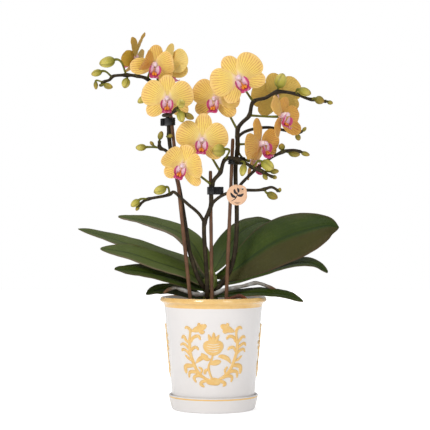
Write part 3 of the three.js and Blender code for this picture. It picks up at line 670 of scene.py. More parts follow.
def stem_tree():
    """A round stem along a path, as thick as the path's own radius, slightly lumpy."""
    rule, given = open_tree("stem", Sides=12, Lumps=0.0, Grain=200.0)
    line = rule.node("GeometryNodeMeshToCurve", {"Mesh": given["Geometry"]})
    ring = rule.node("GeometryNodeCurvePrimitiveCircle", {"Resolution": given["Sides"], "Radius": 1.0})
    radius = rule.node("GeometryNodeInputRadius")
    inputs = {"Curve": line, "Profile Curve": ring, "Scale": radius, "Fill Caps": True}
    tube = rule.node("GeometryNodeCurveToMesh", inputs)
    lump = (rule.noise(given["Grain"], 3, 0.6) - 0.5) * given["Lumps"]
    normal = rule.node("GeometryNodeInputNormal")
    push = rule.vector("SCALE", normal, scale=lump)
    lumpy = rule.node("GeometryNodeSetPosition", {"Geometry": tube, "Offset": push})
    return close_tree(rule, lumpy, given)


def bark_tree():
    """Chips of bark scattered over a round bed, as close as their spacing lets them lie."""
    rule, given = open_tree(
        "bark_bed", Spacing=0.0042, Density=90000.0, Chip=0.0045, Rough=0.0055, Seed=7
    )
    bed = rule.tree.nodes.new("GeometryNodeDistributePointsOnFaces")
    bed.distribute_method = "POISSON"
    rule.feed(bed.inputs["Mesh"], given["Geometry"])
    rule.feed(bed.inputs["Distance Min"], given["Spacing"])
    rule.feed(bed.inputs["Density Max"], given["Density"])
    rule.feed(bed.inputs["Seed"], given["Seed"])
    chip = rule.node("GeometryNodeMeshIcoSphere", {"Radius": given["Chip"], "Subdivisions": 2})

    def dice(low, high, extra):
        node = rule.tree.nodes.new("FunctionNodeRandomValue")
        node.data_type = "FLOAT_VECTOR"
        rule.feed(node.inputs["Min"], low)
        rule.feed(node.inputs["Max"], high)
        rule.feed(node.inputs["Seed"], given["Seed"] + extra)
        return Value(rule, node.outputs["Value"])

    inputs = {
        "Points": Value(rule, bed.outputs["Points"]), "Instance": chip,
        "Rotation": dice((-0.5, -0.5, 0.0), (0.5, 0.5, TAU), 1),
        "Scale": dice((0.7, 0.4, 0.22), (1.5, 0.9, 0.5), 2),
    }
    placed = rule.node("GeometryNodeInstanceOnPoints", inputs)
    real = rule.node("GeometryNodeRealizeInstances", {"Geometry": placed})
    inputs = {"Vector": rule.node("GeometryNodeInputPosition"), "Scale": 230.0, "Detail": 3.0}
    cloud = rule.node("ShaderNodeTexNoise", inputs, "Color")
    shove = rule.vector("SUBTRACT", cloud, (0.5, 0.5, 0.5))
    inputs = {"Geometry": real, "Offset": rule.vector("SCALE", shove, scale=given["Rough"])}
    return close_tree(rule, rule.node("GeometryNodeSetPosition", inputs), given)


def wall_tree():
    """Bends a flat raised pattern onto the pot's wall and repeats it round the pot."""
    rule, given = open_tree(
        "pattern_round_pot", Copies=WREATHS, Low=HEEL[1] * MM, High=NECK[1] * MM,
        Radius_low=HEEL[0] * MM, Radius_high=NECK[0] * MM, Spread=0.0465,
    )
    x, y, z = rule.parts(rule.node("GeometryNodeInputPosition"))
    slope = (given["Radius_high"] - given["Radius_low"]) / (given["High"] - given["Low"])
    radius = given["Radius_low"] + (z - given["Low"]) * slope - y
    angle = x / given["Spread"]
    ahead = 0.0 - radius * rule.math("COSINE", angle)
    bent = rule.joined(radius * rule.math("SINE", angle), ahead, z)
    inputs = {"Geometry": given["Geometry"], "Position": bent}
    laid = rule.node("GeometryNodeSetPosition", inputs)
    spots = rule.node("GeometryNodeMeshLine", {"Count": given["Copies"], "Offset": (0.0, 0.0, 0.0)})
    turn = rule.joined(0.0, 0.0, rule.node("GeometryNodeInputIndex") * (TAU / WREATHS))
    inputs = {"Points": spots, "Instance": laid, "Rotation": turn}
    return close_tree(rule, rule.node("GeometryNodeInstanceOnPoints", inputs), given)


def row_tree():
    """Repeats one small rib along a straight row."""
    rule, given = open_tree("rib_row", Count=4, Step=(0.0, 0.0, 0.001))
    spots = rule.node("GeometryNodeMeshLine", {"Count": given["Count"], "Offset": given["Step"]})
    inputs = {"Points": spots, "Instance": given["Geometry"]}
    return close_tree(rule, rule.node("GeometryNodeInstanceOnPoints", inputs), given)


BLADE, STEM_TREE, BARK_TREE = blade_tree(), stem_tree(), bark_tree()
WALL, ROW = wall_tree(), row_tree()


def grown(tree, source, material, **sizes):
    """The plain mesh that a tree makes from a mesh with these sizes."""
    holder = bpy.data.objects.new("holder", source)
    scene.collection.objects.link(holder)
    modifier = holder.modifiers.new("grow", "NODES")
    modifier.node_group = tree
    sizes["Material"] = material
    for item in tree.interface.items_tree:
        if item.in_out == "INPUT" and item.name in sizes:
            modifier[item.identifier] = sizes[item.name]
    bpy.context.view_layer.update()
    solid = holder.evaluated_get(bpy.context.evaluated_depsgraph_get())
    mesh = bpy.data.meshes.new_from_object(solid)
    bpy.data.objects.remove(holder)
    return mesh


# ---- Paths ----


def smooth_path(points, count):
    """Evenly spaced points on the smooth curve through these points."""
    p = np.array(points, float)
    p = np.vstack([2 * p[0] - p[1], p, 2 * p[-1] - p[-2]])
    t = np.linspace(0, 1, 17)[:-1, None]
    runs = []
    for a, b, c, d in zip(p, p[1:], p[2:], p[3:]):
        m0, m1 = (c - a) / 2, (d - b) / 2
        runs.append(
            (2 * t**3 - 3 * t**2 + 1) * b + (t**3 - 2 * t**2 + t) * m0
            + (3 * t**2 - 2 * t**3) * c + (t**3 - t**2) * m1
        )
    return even(np.vstack([*runs, p[-2]]), count)


def bezier(points, count):
    """Evenly spaced points on the Bezier curve that these points pull."""
    p = np.array(points, float)
    t = np.linspace(0, 1, 4 * count)[:, None]
    degree = len(p) - 1
    line = sum(
        math.comb(degree, i) * (1 - t) ** (degree - i) * t**i * p[i] for i in range(degree + 1)
    )
    return even(line, count)


def walked(line):
    """How far along a line each of its points is."""
    return np.concatenate([[0], np.cumsum(np.linalg.norm(np.diff(line, axis=0), axis=1))])


def even(line, count):
    """The same line with its points evenly spaced."""
    reach = walked(line)
    wanted = np.linspace(0, reach[-1], count)
    return np.stack([np.interp(wanted, reach, line[:, k]) for k in range(3)], axis=1)


def path_mesh(points, **values):
    """A chain of edges through points in millimetres, with values held at each point."""
    mesh = bpy.data.meshes.new("path")
    edges = [(i, i + 1) for i in range(len(points) - 1)]
    mesh.from_pydata([tuple(p * MM) for p in np.asarray(points, float)], edges, [])
    for name, numbers in values.items():
        held = mesh.attributes.new(name, "FLOAT", "POINT")
        held.data.foreach_set("value", np.asarray(numbers, np.float32))
    return mesh


def blade(points, width, material, thickness, count=48, straight=False, **sizes):
    """A blade along a midrib given in millimetres."""
    line = np.asarray(points, float) if straight else smooth_path(points, count)
    sizes = {key.capitalize(): value for key, value in sizes.items()}
    face = Vector(sizes.pop("Face", (0, -1, 0))).normalized()
    return grown(
        BLADE, path_mesh(line), material, Width=width * MM, Thickness=thickness * MM,
        Face=tuple(face), **sizes
    )


def stem(line, radii, material, sides, lumps, grain, tone=(0, 0)):
    """A stem along dense points with a radius at each; lumps too are in millimetres."""
    radii = np.array(radii, float) * MM
    share = np.linspace(0, 1, len(line))
    tones = tone[0] + (tone[1] - tone[0]) * share
    source = path_mesh(line, radius=radii, along=share, tone=tones)
    return grown(STEM_TREE, source, material, Sides=sides, Lumps=lumps * MM, Grain=grain)


def rounded_end(radii, line):
    """Draws the last points of a stem in, so that it ends in a dome."""
    reach = walked(line)
    left = np.clip((reach[-1] - reach) / radii[-1], 0, 1)
    return radii * np.sqrt(np.clip(1 - (1 - left) ** 2, 0.01, 1))


# ---- Meshes and pieces ----

HELD = ("across", "along", "front", "vein", "seam", "tone")


def gathered(name, parts):
    """One mesh of several (mesh, matrix) parts; each closed part faces outwards."""
    places, corners, starts, slots, materials = [], [], [], [], []
    held = {key: [] for key in HELD}
    points = loops = 0
    for mesh, matrix in parts:
        co = np.empty(len(mesh.vertices) * 3, np.float32)
        mesh.vertices.foreach_get("co", co)
        co = co.reshape(-1, 3) @ np.array(matrix.to_3x3()).T + np.array(matrix.translation)
        corner = np.empty(len(mesh.loops), np.int32)
        mesh.loops.foreach_get("vertex_index", corner)
        start = np.empty(len(mesh.polygons), np.int32)
        mesh.polygons.foreach_get("loop_start", start)
        sizes = np.diff(np.append(start, len(corner)))
        first = np.repeat(corner[start], sizes)
        later = np.roll(corner, -1)
        last = start + sizes - 1
        later[last] = corner[start]
        volume = np.einsum("ij,ij->i", co[first], np.cross(co[corner], co[later])).sum()
        if volume < 0:
            corner = np.concatenate([corner[s : s + n][::-1] for s, n in zip(start, sizes)])
        for material in mesh.materials:
            if material not in materials:
                materials.append(material)
        index = np.empty(len(mesh.polygons), np.int32)
        mesh.polygons.foreach_get("material_index", index)
        remap = np.array([materials.index(m) for m in mesh.materials] or [0])
        places.append(co)
        corners.append(corner + points)
        starts.append(start + loops)
        slots.append(remap[index])
        for key in HELD:
            layer = mesh.attributes.get(key)
            numbers = np.zeros(len(co), np.float32)
            if layer and layer.data_type == "FLOAT" and layer.domain == "POINT":
                layer.data.foreach_get("value", numbers)
            held[key].append(numbers)
        points += len(co)
        loops += len(corner)
    whole = bpy.data.meshes.new(name)
    whole.vertices.add(points)
    whole.vertices.foreach_set("co", np.concatenate(places).astype(np.float32).ravel())
    whole.loops.add(loops)
    whole.loops.foreach_set("vertex_index", np.concatenate(corners))
    starts = np.concatenate(starts)
    whole.polygons.add(len(starts))
    whole.polygons.foreach_set("loop_start", starts)
    for material in materials:
        whole.materials.append(material)
    whole.polygons.foreach_set("material_index", np.concatenate(slots).astype(np.int32))
    whole.update(calc_edges=True)
    whole.shade_smooth()
    for key in HELD:
        numbers = np.concatenate(held[key])
        if numbers.any():
            layer = whole.attributes.new(key, "FLOAT", "POINT")
            layer.data.foreach_set("value", numbers)
    whole.validate()
    return whole


HERE = Matrix.Identity(4)
PLANT = Matrix.Translation((0, 0, BARK_TOP * MM))


def piece(name, parts, replaced, move=PLANT):
    """A finished piece from meshes, standing for CAD nodes, with its place in its mesh."""
    parts = [p if isinstance(p, tuple) else (p, HERE) for p in parts]
    mesh = gathered(name, [(m, move @ matrix) for m, matrix in parts])
    body = bpy.data.objects.new(name, mesh)
    scene.collection.objects.link(body)
    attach(body, "root")
    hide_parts(*replaced)


CUTS = 4  # straight bits in an eased corner


def eased(profile, reach):
    """A profile with its corners eased into short curves."""
    p = [Vector(q) for q in profile]
    line = [p[0]]
    for before, corner, after in zip(p, p[1:], p[2:]):
        back, on = before - corner, after - corner
        near = min(reach, back.length * 0.45, on.length * 0.45)
        a, b = corner + back.normalized() * near, corner + on.normalized() * near
        shares = np.linspace(0, 1, CUTS + 1)
        line += [a.lerp(corner, t).lerp(corner.lerp(b, t), t) for t in shares]
    return line + [p[-1]]


def made(form, material):
    """The mesh of a closed form, with its faces turned outwards."""
    bmesh.ops.recalc_face_normals(form, faces=form.faces)
    mesh = bpy.data.meshes.new("form")
    form.to_mesh(mesh)
    form.free()
    mesh.materials.append(material)
    return mesh


def closed_grid(rows, material):
    """A mesh over rows of points in millimetres, joined round both ways."""
    form = bmesh.new()
    rows = [[form.verts.new([c * MM for c in point]) for point in row] for row in rows]
    for row, onward in zip(rows, rows[1:] + rows[:1]):
        for i in range(len(row)):
            j = (i + 1) % len(row)
            form.faces.new((row[i], row[j], onward[j], onward[i]))
    return made(form, material)


def turned_solid(profile, material, steps, reach=0.8):
    """A closed solid of revolution from (radius, height) in millimetres."""
    form = bmesh.new()
    rings = []
    for r, z in eased(profile, reach):
        if r < 1e-6:
            rings.append([form.verts.new((0, 0, z * MM))])
        else:
            rings.append([
                form.verts.new((r * MM * math.cos(a), r * MM * math.sin(a), z * MM))
                for a in np.linspace(0, TAU, steps, endpoint=False)
            ])
    for low, high in zip(rings, rings[1:]):
        for i in range(steps):
            j = (i + 1) % steps
            corners = [ring[k % len(ring)] for ring, k in ((low, i), (low, j), (high, j), (high, i))]
            corners = list(dict.fromkeys(corners))
            if len(corners) > 2:
                form.faces.new(corners)
    return made(form, material)


# ---- Pot, saucer and grow pot ----

POT = [
    (0, 4.3), (38, 4.3), (39, 5), HEEL, NECK, (51, 108.6), (52.1, 110.4),
    (54.3, 111.3), (55.3, 112.6), (54.5, 115.2), (53.7, 116.1), (52.6, 116.3), (51, 116.3),
    (50, 115.3), (45.5, 106.3),
    (38.2, 13.3), (33.8, 9.3), (0, 9.3),
]
SAUCER = [
    (0, 0), (41, 0), (42.5, 0.8), (43.3, 2.6), (46.1, 14.4), (45.9, 15.6), (45.1, 16),
    (43.9, 15.7), (43.2, 14), (39.6, 5), (38.6, 4), (0, 4),
]
GROW_POT_WALL = [
    (0, 9.6), (32.8, 9.6), (43.1, 105.3), (44.7, 105.6), (44.7, 108.1), (44.1, 108.3),
    (42.4, 108.3), (42.1, 107.6), (31.8, 10.6), (0, 10.6),
]

piece("glazed_pot", [turned_solid(POT, POT_GLAZE, 192)], ["pot"], HERE)
saucer = turned_solid(SAUCER, SAUCER_GLAZE, 192, 0.6)
piece("drip_saucer", [saucer], ["saucer"], HERE)


def drilled(mesh, holes, radius, reach, height):
    """Cuts a ring of round holes through a floor."""
    body = bpy.data.objects.new("body", mesh)
    scene.collection.objects.link(body)
    drill = bmesh.new()
    for i in range(holes):
        angle = i / holes * TAU
        spot = Matrix.Translation((reach * math.cos(angle), reach * math.sin(angle), height))
        bmesh.ops.create_cone(
            drill, cap_ends=True, segments=32, radius1=radius, radius2=radius,
            depth=2 * radius, matrix=spot,
        )
    cutter = bpy.data.objects.new("cutter", bpy.data.meshes.new("cutter"))
    drill.to_mesh(cutter.data)
    drill.free()
    scene.collection.objects.link(cutter)
    cut = body.modifiers.new("cut", "BOOLEAN")
    cut.operation, cut.object = "DIFFERENCE", cutter
    bpy.context.view_layer.update()
    solid = body.evaluated_get(bpy.context.evaluated_depsgraph_get())
    result = bpy.data.meshes.new_from_object(solid)
    for spare in (body, cutter):
        bpy.data.objects.remove(spare)
    return result


grow_pot = turned_solid(GROW_POT_WALL, GROW_POT, 96, 0.4)
grow_pot = drilled(grow_pot, holes=6, radius=3 * MM, reach=19.9 * MM, height=10.1 * MM)
piece("inner_grow_pot", [grow_pot], ["grow_pot"], HERE)

# ---- Raised ornament: an open wreath of curling scrolls round a fruit on its stalk ----
# Each scroll: width, rise, fall, then its line as (across, up) from the wreath's middle.

WREATH_MIDDLE = 60.0  # height
WREATH_STRETCH = 1.07  # sideways
STROKE_WIDER = 1.08
RELIEF = 2.5  # thickness of the slip, half of it proud of the wall
HAND = 0.8  # how far a repeated stroke strays
HALF_WREATH = [
    (3.4, 0.3, 0.35, [(1, -27), (9, -23), (16, -16.5), (20, -8), (22.5, 1), (23.5, 9), (22, 17),
                      (21.5, 24)]),
    (3.2, 0.3, 0.5, [(21.5, 20), (22, 25), (25, 27.5), (27.5, 25.5)]),
    (3.0, 0.4, 0.5, [(22.5, 10), (26, 15), (29.5, 18), (32, 16)]),
    (2.8, 0.4, 0.5, [(23, 5), (27.5, 9.5), (31.5, 11), (33, 8)]),
    (2.8, 0.4, 0.5, [(22, -1), (26, 3.5), (30.5, 5), (32.5, 2)]),
    (2.6, 0.5, 0.6, [(20.5, -7), (25, -5), (29, -1.5)]),
    (4.6, 0.5, 0.5, [(18, -12), (23, -11), (28, -13), (28, -20)]),
    (3.4, 0.4, 0.5, [(12, -21), (18, -17), (24, -18), (24.5, -24)]),
    (3.2, 0.4, 0.5, [(8, -24.5), (14, -21.5), (19, -23), (18, -28)]),
    (3.4, 0.4, 0.5, [(3, -27), (8, -27), (12, -29.5), (9.5, -32)]),
    (3.2, 0.4, 0.5, [(21.5, 12), (19, 17.5), (14.5, 18.5), (12, 15.5)]),
    (3.0, 0.4, 0.5, [(22, 2), (19.5, 7), (15.5, 7), (13.5, 4.5)]),
    (4.6, 0.8, 0.8, [(17.5, -9.5), (13.5, -4), (7.5, -1.5), (4.5, -2)]),
    (2.4, 0.4, 0.5, [(12, -20), (11.5, -15.5), (14, -12)]),
    (6.4, 0.7, 0.7, [(20, 23), (15, 25), (10, 28), (6.5, 30)]),
    (3.4, 0.6, 0.7, [(14, 25.5), (11, 23), (8.5, 24.5)]),
    (3.0, 0.6, 0.7, [(12, 26.5), (13, 30), (12, 32)]),
]
FRUIT = [
    (19.5, 0.55, 0.5, [(0, -1), (0, 7), (0, 15)]),
    (3.6, 0.4, 0.9, [(-1.2, 12), (-3.0, 16.5), (-4.6, 21)]),
    (3.8, 0.4, 0.9, [(0, 12), (0.3, 17), (0.4, 23)]),
    (3.6, 0.4, 0.9, [(1.4, 12), (3.4, 16.5), (5.4, 20.5)]),
    (2.4, 0.25, 0.3, [(0, 1), (-2, -6), (-4.5, -12), (-3, -20), (0, -26)]),
    (5.0, 0.7, 0.8, [(-2.5, -5), (-7, -3.5), (-11.5, 1.5)]),
    (5.4, 0.7, 0.8, [(-4, -9), (1.5, -8), (7.5, -6.5)]),
    (3.2, 0.6, 0.6, [(-3.6, -14.5), (-7.5, -16), (-8.5, -20)]),
    (7.5, 0.5, 0.5, [(-7, -28), (0, -27), (7, -28)]),
]
STRIATIONS = [(4.4, 3.0), (5.6, 5.4), (6.2, 7.9), (5.4, 10.2)]  # half length, height


def scroll(width, rise, fall, line, lift=0.0, depth=RELIEF, tone=0.0):
    """One raised stroke of slip, still on the flat, `lift` proud of it."""
    spots = [(x * WREATH_STRETCH, -lift, WREATH_MIDDLE + z) for x, z in line]
    return blade(
        spots, width * STROKE_WIDER, SLIP, depth, 28, rise=rise, fall=fall * 0.7, face=(0, -1, 0),
        tone=tone, around=20, along=26,
    )


def slightly_uneven(line, seed):
    """The same stroke as a hand repeats it."""
    shift = random.Random(seed)
    return [(x + shift.uniform(-HAND, HAND), z + shift.uniform(-HAND, HAND)) for x, z in line]


scrolls = [scroll(*s) for s in FRUIT]
for number, (width, rise, fall, line) in enumerate(HALF_WREATH):
    scrolls.append(scroll(width, rise, fall, line))
    left = slightly_uneven([(-x, z) for x, z in line], number)
    scrolls.append(scroll(width, rise, fall, left))
for reach, height in STRIATIONS:
    streak = [(-reach, height + 0.9), (0, height), (reach, height + 1.1)]
    scrolls.append(scroll(0.8, 0.5, 0.5, streak, 1.0, 0.9, 1.0))
flat_wreath = gathered("flat_wreath", [(s, HERE) for s in scrolls])
piece("raised_wreaths", [grown(WALL, flat_wreath, SLIP)], [], HERE)

# ---- Bark ----

BED_RADIUS, BED_DEPTH = 40.0, 2.2  # the flat disc that the loose chips lie on
BARK_BODY = [
    (0, BARK_FOOT), (31.2, BARK_FOOT), (40.6, -4), (40.2, -2.2), (30, -1.2), (18, -1.6), (8, -1.2),
    (0, -1.4),
]
form = bmesh.new()
sunk = Matrix.Translation((0, 0, -BED_DEPTH * MM))
bmesh.ops.create_circle(form, cap_ends=True, segments=48, radius=BED_RADIUS * MM, matrix=sunk)
chips = grown(BARK_TREE, made(form, BARK), BARK)
under = turned_solid(BARK_BODY, BARK, 64)
piece("bark_chips", [chips, under], ["potting_bark"])

# ---- Stakes ----

STAKES = {
    "left": ((-23, -18, 0), (-43.5, -15, 194)),
    "centre": ((-1.5, -13.5, 0), (-3, -12, 137)),
    "right": ((13, -17, 0), (20, -14, 170)),
}
STAKE_RADIUS, STAKE_TAPER, STAKE_WAVER, STAKE_BEVEL = 2.0, 0.2, 0.05, 0.35


def stake_at(side, height):
    """Where a stake's axis is at a height."""
    foot, top = (Vector(p) for p in STAKES[side])
    return foot.lerp(top, height / top.z)


for side in STAKES:
    foot, top = stake_at(side, BARK_FOOT), Vector(STAKES[side][1])
    share = np.linspace(0, 1, 130)
    line = np.array([foot.lerp(top, t) for t in share])
    waver = STAKE_WAVER * np.sin(share * 61 + len(side))
    radii = STAKE_RADIUS - STAKE_TAPER * share + waver
    radii[-1] -= STAKE_BEVEL
    cane = stem(line, radii, CANE, sides=20, lumps=0.25, grain=420.0)
    piece(f"cane_{side}", [cane], [f"stake_{side}"])

# ---- Leaves ----

# Leaf: width, the way its upper face looks, and its midrib.
LEAVES = {
    "left_1": (36, (0.25, -0.4, 1),
               [(-5, 1, 26), (-17, 12, 54), (-35, 24, 72), (-69, 34, 84), (-101, 42, 90)]),
    "left_2": (40, (0.3, -0.34, 1),
               [(-4, 6, 24), (-17, 18, 34), (-30, 28, 41), (-62, 38, 50), (-96, 47, 62),
                (-122, 53, 70), (-145, 58, 77)]),
    "left_3": (39, (0.25, -0.5, 1),
               [(-4, -1, 17), (-17, -1, 25), (-30, -1, 33), (-60, -2, 43), (-87, -2, 52),
                (-117, 0, 57)]),
    "left_4": (32, (0.15, -0.5, 1),
               [(-4, 0, 13), (-30, -1, 22), (-55, -10, 29.5), (-77, -16, 34), (-101, -22, 36)]),
    "left_5": (24, (0, -0.5, 1),
               [(-6, 4, 3), (-25, 6, 9.5), (-44, 6, RIM_ABOVE + 6.5), (-58, 4, RIM_ABOVE + 6),
                (-70, 2, RIM_ABOVE + 2)]),
    "right_1": (59, (-0.3, -0.85, 0.55),
                [(-2, 6, 26), (19, 6, 33), (39, 4, 47.5), (60, 3, 61.5), (80, 4, 70.5),
                 (100, 6, 76.5), (119, 9, 80.5), (131, 12, 78.5)]),
    "right_2": (38, (-0.5, -0.7, 0.9),
                [(-0.5, 4.5, 31), (13, 28, 53), (27, 36, 71), (45, 41, 82), (63, 46, 85)]),
    "right_3": (38, (0, -0.28, 1),
                [(-2, 5, 18), (26, 6, 24), (51, 3, 32), (79, 0, 40), (102, -2, 41),
                 (118, -4, 32)]),
    "right_4": (28, (0, -0.3, 1),
                [(-2, -1, 7), (23, -5, RIM_ABOVE + 2.6), (50, -13, RIM_ABOVE + 4.2),
                 (74, -17, RIM_ABOVE + 1.8), (92, -21, RIM_ABOVE - 4)]),
}

USUAL_LEAF = {"rise": 0.6, "fall": 0.6, "fold": 0.12, "groove": 0.0016, "ruffle": 0.006}
OWN_WAYS = {
    "right_1": {"rise": 1.05, "fall": 0.75, "fold": -0.1, "tone": 1.0},
    "left_1": {"tone": -1.0}, "left_2": {"tone": -0.8}, "left_3": {"tone": -0.8},
}
LEAF_THICKNESS = 2.2

for number, (name, (width, face, midrib)) in enumerate(LEAVES.items()):
    ways = USUAL_LEAF | OWN_WAYS.get(name, {})
    leaf = blade(
        midrib, width, LEAF, LEAF_THICKNESS, 80, face=face, seed=float(number + 1), around=64,
        along=90, **ways,
    )
    piece(f"broad_leaf_{name}", [leaf], [f"leaf_{name}"])

# ---- Crown and roots ----

CROWN_X = -3.0
SHEATHS, SHEATH_TURN = 7, 2.4  # old leaf bases round the crown, and the turn to the next one
sheath_parts = [
    blade(
        [(CROWN_X, 0, -14), (CROWN_X, 0, 10), (CROWN_X, 0, 35)], 15, CROWN, 15, 24, rise=0.3,
        fall=0.3, round=1.0, seams=0.12, around=48, along=30, ruffle=0.001,
    )
]
for number in range(SHEATHS):
    turn = number * SHEATH_TURN
    x, y = math.cos(turn), math.sin(turn)
    low, high = -2 + number * 3.2, 12 + number * 3.4
    sheath_parts.append(
        blade(
            [(CROWN_X + 5.4 * x, 5.4 * y, low), (CROWN_X + 7.2 * x, 7.2 * y, (low + high) / 2),
             (CROWN_X + 7.4 * x, 7.4 * y, high)],
            11, CROWN, 1.0, 16, rise=0.3, fall=0.7, face=(x, y, 0.05), cup=-0.55, around=24,
            along=18, seed=float(number), ruffle=0.002,
        )
    )
piece("leaf_crown", sheath_parts, ["crown"])

ROOTS = {
    "right": (SILVER_ROOT, [(-1, -7, 9.5), (3.5, -11.5, 11.5), (10, -12.5, 14.5), (20, -11, 16.5),
                            (31, -9, 18.5), (40, -8, 21), (46, -8, 21.5), (55, -7, 18.5),
                            (66, -4, RIM_ABOVE + 6)]),
    "left": (SILVER_ROOT, [(-6, -3, 10), (-14, -11, 10), (-21, -14, 11), (-31, -13, 14.5),
                           (-39, -13, 17), (-46, -12, 15), (-51, -11, 11)]),
    "low": (BROWN_ROOT, [(0, -5, -1), (9, -24, 3), (18, -33, 7), (27, -34, 9.5), (36, -29, 4)]),
}

ROOT_RADIUS, ROOT_TAPER = 2.3, 0.55

for number, (name, (skin, points)) in enumerate(ROOTS.items()):
    line = smooth_path(points, 90)
    share = np.linspace(0, 1, len(line))
    swell = 1 + 0.09 * np.sin(share * 23 + number) + 0.05 * np.sin(share * 51)
    radii = rounded_end((ROOT_RADIUS - ROOT_TAPER * share) * swell, line)
    root = stem(line, radii, skin, sides=20, lumps=0.55, grain=330.0)
    piece(f"aerial_root_{name}", [root], [f"root_{name}"])

# ---- Flower spikes ----

SPIKES = {
    "left": [
        [(-5, -6, 13), (-11, -12, 19), (-16, -14, 28), (-20, -13, 40), (-25, -11, 56),
         (-28, -9, 76), (-33, -9, 107), (-36, -9, 123), (-40, -9, 140), (-44, -10, 159),
         (-45.5, -10, 172), (-46, -9, 184), (-47.5, -8, 195), (-52, -6, 210), (-59, -3, 223),
         (-68, -3, 232), (-78, -3, 235), (-89, -4, 236), (-103, -5, 235), (-107, -5, 231),
         (-113, -5, 229), (-116, -5, 225)],
        [(-47.5, -8, 194.5), (-51, -14, 194), (-50, -22, 193), (-44, -31, 193.5), (-39, -36, 197),
         (-36, -38, 200)],
        [(-43, -10, 152), (-49, -9, 158), (-55, -9, 161), (-55.5, -9, 169)],
    ],
    "centre": [
        [(-5, -5, 3), (-6.5, -10, 7), (-6.5, -14.5, 13), (-6.5, -14.5, 22), (-7, -14, 35),
         (-8.5, -13, 56), (-9.5, -13, 72), (-9, -15, 84), (-5, -18, 94), (-2, -19, 103),
         (-2, -19, 113), (0, -19, 126), (7, -19, 135), (10, -19, 145), (13, -20, 149),
         (19, -21, 150), (27, -21, 147), (34, -22, 144), (40, -23, 140), (48, -24, 137),
         (57, -24, 132), (62, -24, 130)],
        [(-9, -15, 84), (-14, -17, 92), (-19, -20, 97), (-24, -22, 101), (-32, -23, 108),
         (-40, -23, 115), (-44, -23, 113), (-50, -23, 111), (-66, -22, 108), (-72, -21, 105),
         (-77, -21, 100)],
        [(-2, -19, 103), (5, -20, 109), (12, -20, 113), (19, -20, 115), (27, -19, 117),
         (36, -18, 117), (45, -17, 117), (52, -18, 118), (59, -20, 120), (64, -20, 118),
         (67, -19, 115)],
    ],
    "right": [
        [(-2, -4, 11), (8, -7, 19.5), (16, -9, 32), (20, -10, 43), (23, -11, 61), (24, -11, 81),
         (24, -10, 102), (23, -10, 122), (23, -9, 143), (25, -9, 161), (25, -9, 179),
         (30, -9, 187), (37, -9, 194), (41, -10, 208), (54, -12, 212), (66, -14, 218),
         (84, -14, 216), (97, -13, 211), (110, -12, 209), (118, -11, 208)],
        [(24, -10, 117), (29, -10, 124), (42, -9, 137), (52, -8, 145), (60, -7, 151),
         (70, -7, 156), (76, -8, 158), (84, -14, 158), (91, -13, 156)],
        [(25, -9, 172), (33, 2, 178), (46, 12, 182), (59, 16, 183), (75, 16, 180),
         (87, 16, 177), (94, 16, 180)],
    ],
}
# Flower: middle, then yaw, pitch and roll in degrees, where its stalk leaves the spike, how
# far its petals bend forwards in degrees, its size, and how shut it still is, which also
# paints shade: a deeper ochre on its tepals' fronts.
FLOWERS = {
    "left": [
        ((-81, 12.5, 256), (-102, 15, -40), (-78, -3, 235), 15, 1, 0.9),
        ((-61, -16, 245), (14, -10, -4), (-68, -3, 232), 58, 0.95, 0.3),
        ((-47, 4, 245), (122, -5, 0), (-59, -3, 223), 30, 1, 0.2),
        ((-47, -26, 209), (0, -6, 0), (-48, -8, 197), 0, 1, 0),
    ],
    "centre": [
        ((-31, -36, 141), (-8, -10, -20), (-1, -19, 122), 50, 0.93, 0),
        ((-11.5, -30, 166.5), (0, -3, -4), (7, -19, 135), 6, 1, 0),
    ],
    "right": [
        ((3, -9, 210), (-20, -5, -8), (25, -9, 180), 15, 1, 0.15),
        ((26, -26, 230), (5, -5, 30), (41, -10, 208), 0, 1.08, 0),
        ((66, 10, 214.5), (170, 0, -10), (66, -14, 218), 8, 1, 0.6),
        ((70, -17.5, 192.5), (50, 0, -15), (37, -9, 194), 45, 1, 1),
        ((48, -16, 164), (52, -5, 20), (25, -9, 165), 50, 1, 1),
        ((41, 5, 147), (75, -10, 20), (25, -9, 158), 20, 0.9, 1),
    ],
}
